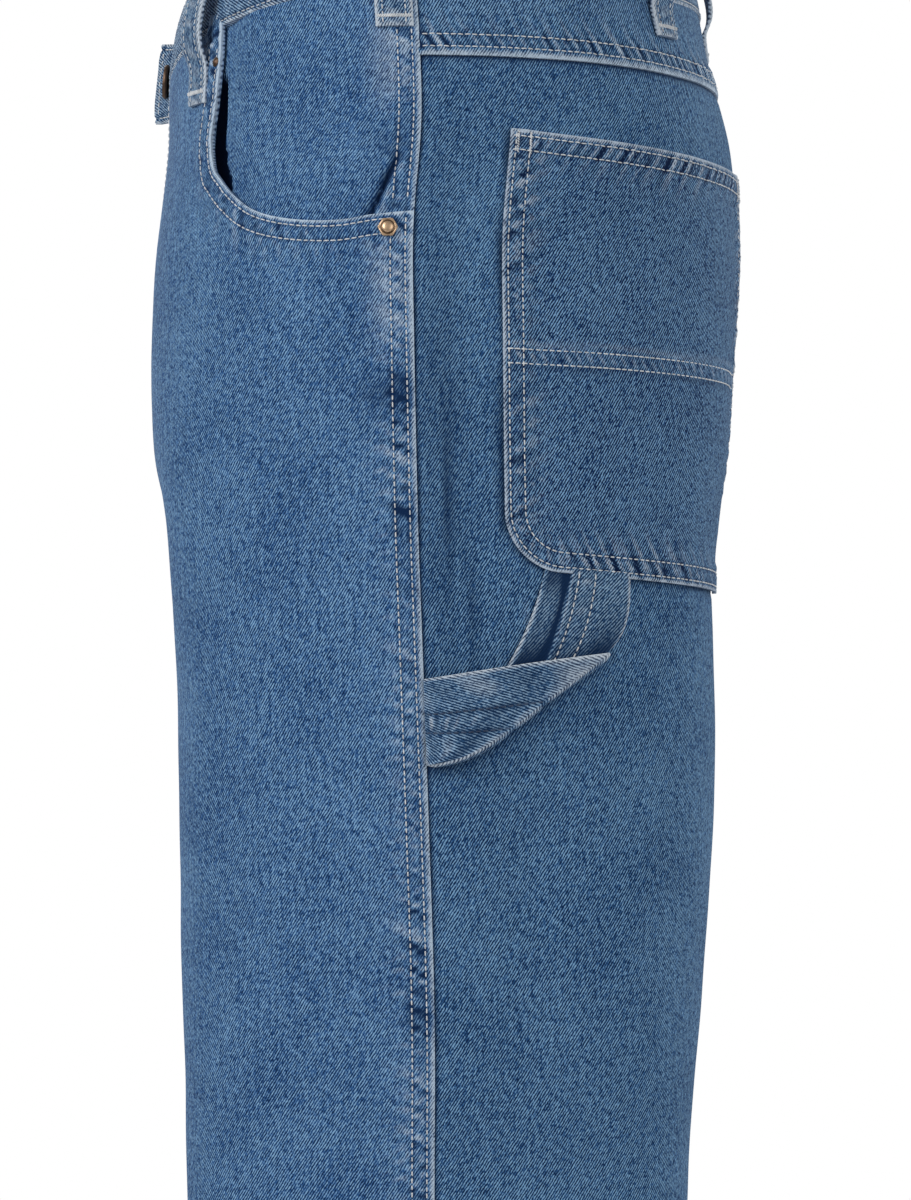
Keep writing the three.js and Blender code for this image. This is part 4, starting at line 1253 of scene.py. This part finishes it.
ts = np.concatenate([np.linspace(0, 1, 46), np.linspace(1, 2, 15)[1:], np.linspace(2, 3, 30)[1:]])[:, None]
ws = np.concatenate([[0, 0.02, 0.045], np.linspace(0.07, 0.93, 40), [0.955, 0.98, 1.0]])[None, :]
ts, ws = np.broadcast_arrays(ts, ws)
front_height, front_wear_and_shade = hammer_relief(ts, ws)
back_height, back_wear_and_shade = hammer_back_relief(ts, ws)
outer = hammer_point(ts, ws, HAMMER_THICK / 2 + front_height)
inner = hammer_point(ts, ws, -HAMMER_THICK / 2 - back_height)
run = np.cumsum(np.r_[[ts[0] * 0], np.linalg.norm(np.diff(outer, axis=0), axis=2)], axis=0) + 600
middle = hammer_point(ts, ws, 0.0)


def lean_uv(across, along, share):
    """Flat cloth coordinates turned by a small angle, whose sine is share."""
    return np.stack([across * 0.98 - along * share, across * share + along * 0.98], -1).reshape(-1, 2)


uv = np.concatenate([lean_uv(-ws * HAMMER_WIDE, run, -0.19),
                     lean_uv(middle[..., 1], middle[..., 2], 0.17)])
piece = shell("hammer_band", outer, inner, uv, np.append(front_wear_and_shade, back_wear_and_shade))
sew_piece(piece, "hammer_loop", DENIM_LIGHT, cut_of(outer))

# %% [markdown]
# ## Belt loops
# A loop is a narrow strap, tacked under the waistband and at its top, standing off between.

# %% Belt loops
LOOP_WIDTH = 17.0
LOOP_THICK = 2.2
LOOP_TOP, LOOP_END = 2, 57
LOOP_ROW = 3.4
LOOP_LEVEL = -30.0
FRONT_LOOP_MORE = 13.0
LOOP_PROFILE = np.array([
    [2, 1.2], [7, 1.3], [12, 6.4], [19, 7.6], [29, 7.4], [36, 5.6], [42, 1.6], [47, 0.7], [57, 0.6],
])
BELT_LOOPS = [(f"{word}_{LEG_NAMES[side]}", side, face, arc) for word, face, arc in (
    ("front", "front", 113.0), ("side", "front", 9.5), ("back", "back", 128.0)) for side in LEG_NAMES]
BELT_LOOPS.append(("centre_back", 1, "back", float(girth("back", LOOP_LEVEL))))
loop_profile = smooth_path(LOOP_PROFILE, 52)


def loop_place(side, face, arc):
    """Function from distance down the loop, distance across it and height to a point."""
    middle = arc / float(girth(face, LOOP_LEVEL))
    top = float(band_seam_z(face, middle)) + BAND_HEIGHT
    stretch = 1 + FRONT_LOOP_MORE / LOOP_END if face == "front" and arc > 50 else 1.0

    def place(down, across, lift):
        down, across, lift = as_grids(down, across, lift)
        gap = np.interp(down, *loop_profile.T)
        z = top - down * stretch
        return cloth(side, face, middle * girth(face, z) + across, z, gap + lift)

    return place


def loop_relief(down, across, seed):
    """Round edges, two grooves and the twist between them."""
    edge = LOOP_WIDTH / 2 - np.abs(across)
    end = np.minimum(down - LOOP_TOP, LOOP_END - down)
    wave = pucker(down * 1.3 + across * 0.4, seed)
    rows = bell(edge - LOOP_ROW, 0.9)
    height = 0.22 * wave * bell(across, 4) - 0.4 * rows - 0.35 * np.clip(1.3 - edge, 0, 1.3) ** 2
    height = height - 0.3 * np.clip(1.2 - end, 0, 1.2) ** 2
    # Pale at the rubbed edges and ends, darker in the grooves as painted shade.
    wear_and_shade = 1.2 * bell(edge, 1.2) + 0.4 * wave * bell(across, 3.5) - 0.3 * rows + 0.6 * bell(end, 1.5)
    return height, wear_and_shade + 0.1


for k, (word, side, face, arc) in enumerate(BELT_LOOPS):
    place = loop_place(side, face, arc)
    down, across = as_grids(loop_profile[:, :1], LOOP_WIDTH * np.linspace(-0.5, 0.5, 17)[None, :])
    height, wear_and_shade = loop_relief(down, across, 0.8 * k)
    outer = place(down, across, LOOP_THICK + height)
    inner = place(down, across, 0.0)
    uv = np.stack([across * weave_turn(side, face) + 60, 90 - down], -1)
    piece = shell(f"strap_{word}", outer, inner, uv, wear_and_shade)
    sew_piece(piece, f"belt_loop_{word}", DENIM_LIGHT, cut_of(outer))

# %% [markdown]
# ## Stitches
# The thread is a thick white polyester core-spun yarn, a bit under 0.7 mm across. A stitch shows
# for 2.6 mm of its 3.2 mm, and for more where the rows stand out, its ends pulled into the
# cloth. Each is a closed tube, a ring of five points at four places along it, and the stitches
# of one part of the garment are one mesh.

# %% Stitches
STITCH_PITCH = 3.2
STITCH_LENGTH = 2.6
LONG_STITCH = 2.95
LONGEST_STITCH = 3.15
THREAD_RADIUS = 0.34
RINGS = np.array([-0.5, -0.28, 0.28, 0.5])
RING_SIZE = np.array([0.45, 1.0, 1.0, 0.45])
RING_LIFT = np.array([-0.2, 0.22, 0.22, -0.2])
SIDES = 5
stitch_groups = {}


def stitches_at(group, place, middles, ends):
    """Add stitches, each given by the flat place of its middle and half its length as a step."""
    u = middles[:, None, 0] + 2 * ends[:, None, 0] * RINGS
    v = middles[:, None, 1] + 2 * ends[:, None, 1] * RINGS
    centre = place(u, v, RING_LIFT + 0 * u)
    up = place(u, v, RING_LIFT + 1 + 0 * u) - centre
    up /= np.linalg.norm(up, axis=2, keepdims=True)
    along = centre[:, -1:] - centre[:, :1]
    across = np.cross(up, along)
    across /= np.linalg.norm(across, axis=2, keepdims=True)
    turn = np.arange(SIDES) * 2 * math.pi / SIDES
    ring = up[:, :, None] * np.cos(turn)[:, None] + across[:, :, None] * np.sin(turn)[:, None]
    points = centre[:, :, None] + ring * (THREAD_RADIUS * RING_SIZE)[:, None, None]
    stitch_groups.setdefault(group, []).append(points)


def stitch_row(group, place, path, length=STITCH_LENGTH):
    """A row of stitches along a path of flat places, spaced by their real distance."""
    along = lengths_along(place(path[:, 0], path[:, 1], np.zeros(len(path))))
    count = max(int(along[-1] / STITCH_PITCH), 1)
    at = (np.arange(count) + 0.5) * along[-1] / count
    first, last = (line_at(at + k * length / 2, along, path) for k in (-1, 1))
    stitches_at(group, place, (first + last) / 2, (last - first) / 2)


def bar_tack(group, place, start, end, wide, count):
    """Close zigzag stitches over a short line."""
    start, end = np.array(start, float), np.array(end, float)
    run = end - start
    side_step = np.array([-run[1], run[0]]) / np.linalg.norm(run) * wide
    middles = start + run * ((np.arange(count) + 0.5) / count)[:, None]
    ends = side_step + run / count * 0.5
    stitches_at(group, place, middles, np.broadcast_to(ends, middles.shape))


def on_panel(side, face, relief, out=0.0):
    """Place function for stitches that lie on a panel's own relief."""
    def place(arc, z, lift):
        return cloth(side, face, arc, z, relief(side, arc, z)[0] + out + lift)
    return place


def offset_path(path, distance, first=0.0, last=1.0):
    """A path moved square to itself, kept between two shares of its length."""
    moved = path + path_normals(path) * distance
    return moved[int(first * (len(path) - 1)):int(last * (len(path) - 1)) + 1]


def upright(arc, top, bottom):
    """Path down the cloth at one distance."""
    return path_of(arc, np.arange(top, bottom, -5.0))


def beside_end(face, inset, top, bottom):
    """Path down the cloth at one distance from the centre seam or the inseam."""
    z = np.arange(top, bottom, -2.5)
    return path_of(girth(face, z) - inset, z)


for side, word in LEG_NAMES.items():
    front = on_panel(side, "front", front_relief)
    back = on_panel(side, "back", back_relief)
    yoke = on_panel(side, "back", yoke_relief)
    facing = on_panel(side, "front", facing_relief)
    pocket = on_panel(side, "back", pocket_relief, POCKET_LIFT)
    for row in SEAM_ROWS:
        stitch_row(f"side_{word}", front, upright(row - EDGE, -141 - row, HEM_Z + 1))
        stitch_row(f"side_{word}", facing, upright(row - EDGE, -36, -140))
        inseam = beside_end("front", row - EDGE, CROTCH_Z - 3, HEM_Z + 1)
        stitch_row(f"inseam_{word}", front, inseam)
    for row in MOUTH_ROWS:
        stitch_row(f"mouth_{word}", front, offset_path(MOUTH, row, 0.055, 0.93), length=LONG_STITCH)
    for row in YOKE_ROWS:
        arc = np.linspace(1.5, float(girth("back", -60.0)) - 2, 60)
        z = yoke_seam_z(np.clip(arc / arc[-1], 0, 1)) + row
        stitch_row(f"yoke_{word}", yoke, path_of(arc, z), length=LONG_STITCH)
    for face, place in (("front", front), ("back", back)):
        arc = np.linspace(1, float(girth(face, HEM_Z + HEM_ROW)) - 1, 80)
        stitch_row(f"hem_{word}", place, path_of(arc, HEM_Z + HEM_ROW))
    for row in POCKET_ROWS:
        moved = offset_path(POCKET_EDGE, -row)
        inside = (moved[:, 1] < pocket_top_z(moved[:, 0]) - 1) & (moved[:, 0] > POCKET_NEAR[1] + 1)
        stitch_row(f"pocket_{word}", pocket, moved[inside])
    for row in POCKET_HEM_ROWS:
        arc = np.linspace(POCKET_NEAR[0] + 1, POCKET_FAR[0] - 1, 60)
        stitch_row(f"pocket_{word}", pocket, path_of(arc, pocket_top_z(arc) - row), length=LONG_STITCH)
    for row in (0.0, GAUGE):
        arc = np.linspace(POCKET_NEAR[0] + 0.5, POCKET_FAR[0] - 2.5, 60)
        stitch_row(f"pocket_{word}", pocket, path_of(arc, pocket_middle_z(arc) - row), length=LONGEST_STITCH)
    for inset in (3.4, 9.2):
        for arc in (POCKET_NEAR[0] + inset, POCKET_FAR[0] - inset):
            top = float(pocket_top_z(arc))
            bar_tack(f"pocket_{word}", pocket, (arc, top - 0.8), (arc, top - 11), wide=0.5, count=9)
    if side > 0:
        for row in SEAM_ROWS:
            stitch_row("centre", front, beside_end("front", row - EDGE, -200, CROTCH_Z + 2))
            stitch_row("centre", back, beside_end("back", row - EDGE, -80, CROTCH_Z + 2))
            stitch_row("centre", yoke, beside_end("back", row - EDGE, -30, -72))
        for inset in (FLY_WIDE, FLY_WIDE + FLY_GAUGE):
            z = np.linspace(-76, FLY_TURN_Z, 40)
            bend = np.linspace(0, math.pi / 2, 20)[1:-2]
            curve_z = FLY_TURN_Z - (FLY_ROUND + inset - FLY_WIDE) * np.sin(bend)
            curve = girth("front", curve_z) - FLY_END - (inset - FLY_END) * np.cos(bend)
            path = np.concatenate([path_of(girth("front", z) - inset, z), path_of(curve, curve_z)])
            stitch_row("centre", front, path)


def on_hammer(front):
    """Place function for the hammer loop, with t and w as its two flat sizes."""
    def place(t, w, lift):
        if front:
            return hammer_point(t, w, HAMMER_THICK / 2 + hammer_relief(t, w)[0] + lift)
        return hammer_point(t, w, -HAMMER_THICK / 2 - hammer_back_relief(t, w)[0] - lift)
    return place


for w in HAMMER_ROWS:
    stitch_row("hammer_dark", on_hammer(True), path_of(np.linspace(0.05, 1.0, 60), w))
for w in HAMMER_BACK_ROWS:
    stitch_row("hammer", on_hammer(False), path_of(np.linspace(2.0, 2.98, 50), w))
for k, (word, side, face, arc) in enumerate(BELT_LOOPS):
    base = loop_place(side, face, arc)

    def on_loop(down, across, lift, base=base, k=k):
        return base(down, across, LOOP_THICK + loop_relief(down, across, 0.8 * k)[0] + lift)

    for across in (LOOP_ROW - LOOP_WIDTH / 2, LOOP_WIDTH / 2 - LOOP_ROW):
        stitch_row("loops", on_loop, path_of(np.linspace(3, 56, 30), across))
    for down in (52.5, 4.5):
        bar_tack("loops", on_loop, (down, -7.8), (down, 7.8), wide=0.9, count=20)


def band_point(s, up, lift):
    """Place on the waistband's outer face at a length along it."""
    stations = np.interp(s, BAND_LENGTHS, np.arange(len(band_rows)))
    rows = np.interp(up, ups, np.arange(len(ups)))
    i = np.clip(stations.astype(int), 0, len(band_rows) - 2)
    j = np.clip(rows.astype(int), 0, len(ups) - 2)
    u, v = np.clip(stations - i, 0, 1)[..., None], (rows - j)[..., None]
    faces = []
    for grid in (BAND_OUTER, BAND_INNER):
        low = grid[j, i] * (1 - u) + grid[j, i + 1] * u
        high = grid[j + 1, i] * (1 - u) + grid[j + 1, i + 1] * u
        faces.append(low * (1 - v) + high * v)
    out, back = faces
    way = out - back
    way /= np.linalg.norm(way, axis=-1, keepdims=True)
    return out + way * lift[..., None]


for up in (BAND_ROW, BAND_HEIGHT - BAND_ROW):
    stitch_row("waist", band_point, path_of(np.arange(2, BAND_LENGTHS[-1] - 16, 5.0), up))
stitch_row("waist", band_point, path_of(BAND_ROW, np.linspace(4, 34, 12)))


def thread_material(name, pale, dark):
    """Twisted sewing thread: pale tops with darker gaps between its plies."""
    material, tree, shader = new_material(name, {"Roughness": 0.7, "Sheen Weight": 0.2})
    where = add_node(tree, "ShaderNodeTexCoord").outputs["Object"]
    fine, slow = (add_node(tree, "ShaderNodeTexNoise", {"Vector": where, "Scale": scale, "Detail": 1.0})
                  for scale in (1700.0, 170.0))
    both = add_node(tree, "ShaderNodeMath", {0: fine.outputs["Fac"], 1: slow.outputs["Fac"], 2: 0.15},
                    operation="MULTIPLY_ADD")
    ramp = add_node(tree, "ShaderNodeValToRGB", {"Fac": both.outputs[0]})
    for stop, place, colour in zip(ramp.color_ramp.elements, (0.25, 0.55), (dark, pale)):
        stop.position, stop.color = place, linear(colour)
    tree.links.new(ramp.outputs[0], shader.inputs["Base Color"])
    return material


THREAD_PALE = thread_material("polyester_thread_white", "f6f8fa", "c4cad0")
THREAD_DARK = thread_material("polyester_thread_blue", "40587a", "1c2d49")
for group, chunks in stitch_groups.items():
    rings = np.concatenate(chunks)
    first = (np.arange(len(rings)) * len(RINGS) * SIDES)[:, None, None]
    ring_start = first + (np.arange(len(RINGS) - 1) * SIDES)[None, :, None]
    j = np.arange(SIDES)[None, None, :]
    a, b = ring_start + j, ring_start + (j + 1) % SIDES
    quads = np.stack([a, b, b + SIDES, a + SIDES], -1).reshape(-1, 4).tolist()
    ends = [np.arange(SIDES)[::-1], (len(RINGS) - 1) * SIDES + np.arange(SIDES)]
    caps = [cap for end in ends for cap in (first[:, 0] + end).tolist()]
    mesh = closed_mesh(f"stitches_{group}", rings.reshape(-1, 3), quads + caps)
    mesh.materials.append(THREAD_DARK if group.endswith("dark") else THREAD_PALE)
    sewing = add_object(mesh.name, mesh)
    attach(sewing, "root")
print("stitches:", sum(len(chunk) for chunks in stitch_groups.values() for chunk in chunks))

# %% [markdown]
# ## Metal
# The side rivets are six-sided caps of antique brass with a bright dome, and the front ones are
# small copper rivets. The waist button is a copper-plated tack button with a bare, plain face.

# %% Rivets and button
def metal_material(name, bright, dull, rough):
    """Plated metal: rubbed bright where it stands up, dull and darker in its hollows."""
    material, tree, shader = new_material(name, {"Metallic": 1.0, "Roughness": rough})
    where = add_node(tree, "ShaderNodeTexCoord").outputs["Object"]
    noise = add_node(tree, "ShaderNodeTexNoise", {"Vector": where, "Scale": 420.0, "Detail": 4.0})
    hollow = add_node(tree, "ShaderNodeAttribute", attribute_name="hollow").outputs["Fac"]
    dirt = add_node(tree, "ShaderNodeMath", {0: noise.outputs["Fac"], 1: 0.7, 2: hollow},
                    operation="MULTIPLY_ADD")
    level = add_node(tree, "ShaderNodeMath", {0: dirt.outputs[0], 1: 0.25}, operation="SUBTRACT",
                     use_clamp=True)
    mix = add_node(tree, "ShaderNodeMix", {0: level.outputs[0], 6: linear(bright), 7: linear(dull)},
                   data_type="RGBA")
    tree.links.new(mix.outputs[2], shader.inputs["Base Color"])
    return material


def turned_piece(name, node, material, place, profile, sides=48, corners=0):
    """Turned metal cap. profile is radius, height, hollow. corners makes its flange polygonal
    where the radius is largest."""
    centre = place(0.0)
    up = place(1.0) - centre
    up /= np.linalg.norm(up)
    across = np.cross(up, [0, 0, 1.0])
    across /= np.linalg.norm(across)
    third = np.cross(up, across)
    turn = np.arange(sides) * 2 * math.pi / sides
    widest = max(r for r, _, _ in profile)
    points, hollows = [centre + up * profile[0][1]], [profile[0][2]]
    for r, h, hollow in profile[1:-1]:
        reach = np.full(sides, r)
        if corners and r > 0.8 * widest:
            wedge = 2 * math.pi / corners
            reach = r * math.cos(wedge / 2) / np.cos((turn % wedge) - wedge / 2)
            reach = np.minimum(reach, r * 0.985)
        ways = np.cos(turn)[:, None] * across + np.sin(turn)[:, None] * third
        points.extend(centre + up * h + reach[:, None] * ways)
        hollows += [hollow] * sides
    points.append(centre + up * profile[-1][1])
    hollows.append(profile[-1][2])
    rings = len(profile) - 2
    last = 1 + rings * sides
    faces = [[0, 1 + (j + 1) % sides, 1 + j] for j in range(sides)]
    for k in range(rings - 1):
        for j in range(sides):
            a, b = 1 + k * sides + j, 1 + k * sides + (j + 1) % sides
            faces.append([a, b, b + sides, a + sides])
    faces += [[last, last - sides + j, last - sides + (j + 1) % sides] for j in range(sides)]
    mesh = closed_mesh(name, np.array(points), faces)
    mark_points(mesh, "hollow", np.array(hollows, float))
    mesh.set_sharp_from_angle(angle=math.radians(40))
    mesh.materials.append(material)
    cap = add_object(name, mesh)
    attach(cap, "root")
    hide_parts(node)


BRASS = metal_material("antique_brass_plate", "f0cda8", "4a3a2e", 0.42)
COPPER = metal_material("tarnished_copper_plate", "6f5a4c", "2b211c", 0.46)
RIVET = [(0, 0, 1), (4.55, 0, 1), (4.7, 0.5, 0.3), (4.5, 0.85, 0.0), (3.5, 1.0, 0.1), (3.0, 0.75, 0.9),
         (2.75, 0.9, 0.6), (2.6, 1.5, 0.1), (2.2, 1.9, 0.0), (1.2, 2.2, 0.0), (0, 2.25, 0.0)]
SMALL_RIVET = [(0, 0, 1), (2.2, 0, 1), (2.3, 0.4, 0.3), (2.0, 0.75, 0.0), (1.4, 0.9, 0.4), (1.1, 1.15, 0.1),
               (0.5, 1.3, 0.0), (0, 1.3, 0.0)]
BUTTON = [(0, 0, 1), (4, 0, 1), (4, 1.4, 1), (8.1, 1.6, 0.4), (8.5, 2.2, 0.1), (8.5, 3.0, 0.0),
          (7.9, 3.8, 0.0), (7.2, 3.9, 0.2), (6.7, 3.5, 0.8), (6.2, 3.3, 0.4), (3.0, 3.5, 0.2),
          (2.6, 3.9, 0.1), (1.2, 4.0, 0.0), (0, 4.0, 0.0)]


def seat(side, arc, z, proud):
    """Function from height to a point above a place on a front leg's cloth."""
    return lambda lift: cloth(side, "front", [arc], [z], [proud + lift])[0]


for side, word in LEG_NAMES.items():
    turned_piece(f"rivet_cap_side_{word}", f"rivet_side_{word}", BRASS,
                 seat(side, 10.5, -149.5, 1.3), RIVET, corners=6)
    turned_piece(f"rivet_cap_front_{word}", f"rivet_front_{word}", COPPER,
                 seat(side, 106.8, -67.0, 1.0), SMALL_RIVET)
button_z = float(band_seam_z("front", 1.0)) + BAND_HEIGHT / 2
button_seat = seat(1, float(girth("front", button_z)), button_z, BAND_PROUD + TAB_LIFT + 0.2)
turned_piece("tack_button", "waist_button", COPPER, button_seat, BUTTON, sides=64)

# %% [markdown]
# ## Light and camera
# The photograph is lit softly from its left, which is the wearer's front, on pure white.

# %% Light, floor and camera
FLOOR_HALF, FLOOR_Z = 1.2, -1.08
scene = bpy.context.scene
scene.view_settings.view_transform = "Standard"
scene.view_settings.look = "None"
world = bpy.data.worlds.new("studio_white")
scene.world = world
world.use_nodes = True
world.node_tree.nodes.clear()
paths = add_node(world.node_tree, "ShaderNodeLightPath")
strength = add_node(world.node_tree, "ShaderNodeMath", {0: paths.outputs["Is Camera Ray"], 1: 0.76, 2: 0.24},
                    operation="MULTIPLY_ADD")
glow = add_node(world.node_tree, "ShaderNodeBackground",
                {"Color": (1, 1, 1, 1), "Strength": strength.outputs[0]})
add_node(world.node_tree, "ShaderNodeOutputWorld", {"Surface": glow.outputs[0]})


def area_light(name, place, target, size, power):
    """Soft rectangular light that looks at a point."""
    data = bpy.data.lights.new(name, "AREA")
    data.shape, data.size, data.size_y, data.energy = "RECTANGLE", size[0], size[1], power
    lamp = add_object(name, data)
    lamp.location = place
    way = np.array(target) - np.array(place)
    yaw = math.atan2(way[1], way[0]) - math.pi / 2
    pitch = math.atan2(way[2], math.hypot(way[0], way[1])) + math.pi / 2
    lamp.rotation_euler = (pitch, 0, yaw)


area_light("key", (1.25, -1.66, 0.7), (0.1, 0, -0.35), (1.1, 1.3), 24)
area_light("fill", (1.7, 1.4, 0.2), (0.1, 0, -0.4), (1.6, 1.8), 14)
area_light("other_side", (-1.9, -0.9, 0.5), (0, 0, -0.5), (1.6, 1.8), 24)
area_light("behind", (-1.3, 1.9, 0.5), (0, 0, -0.5), (1.6, 1.8), 18)
floor_mesh = bpy.data.meshes.new("studio_floor")
corners = [(-1, -1), (1, -1), (1, 1), (-1, 1)]
floor_mesh.from_pydata([(FLOOR_HALF * x, FLOOR_HALF * y, FLOOR_Z) for x, y in corners], [], [(0, 1, 2, 3)])
paper = {"Base Color": linear("f2f2f2"), "Roughness": 0.9}
floor_mesh.materials.append(new_material("matt_white_paper", paper)[0])
add_object("studio_floor", floor_mesh)

camera_data = bpy.data.cameras.new("camera")
camera = scene.camera = add_object("camera", camera_data)
camera.location = (1.790, 0.004, -0.315)
camera.rotation_euler = (math.pi / 2, 0, math.pi / 2)
camera_data.lens = 3616 * 36 / 1200
camera_data.sensor_width = 36
scene.render.resolution_x = 911
scene.render.resolution_y = 1200
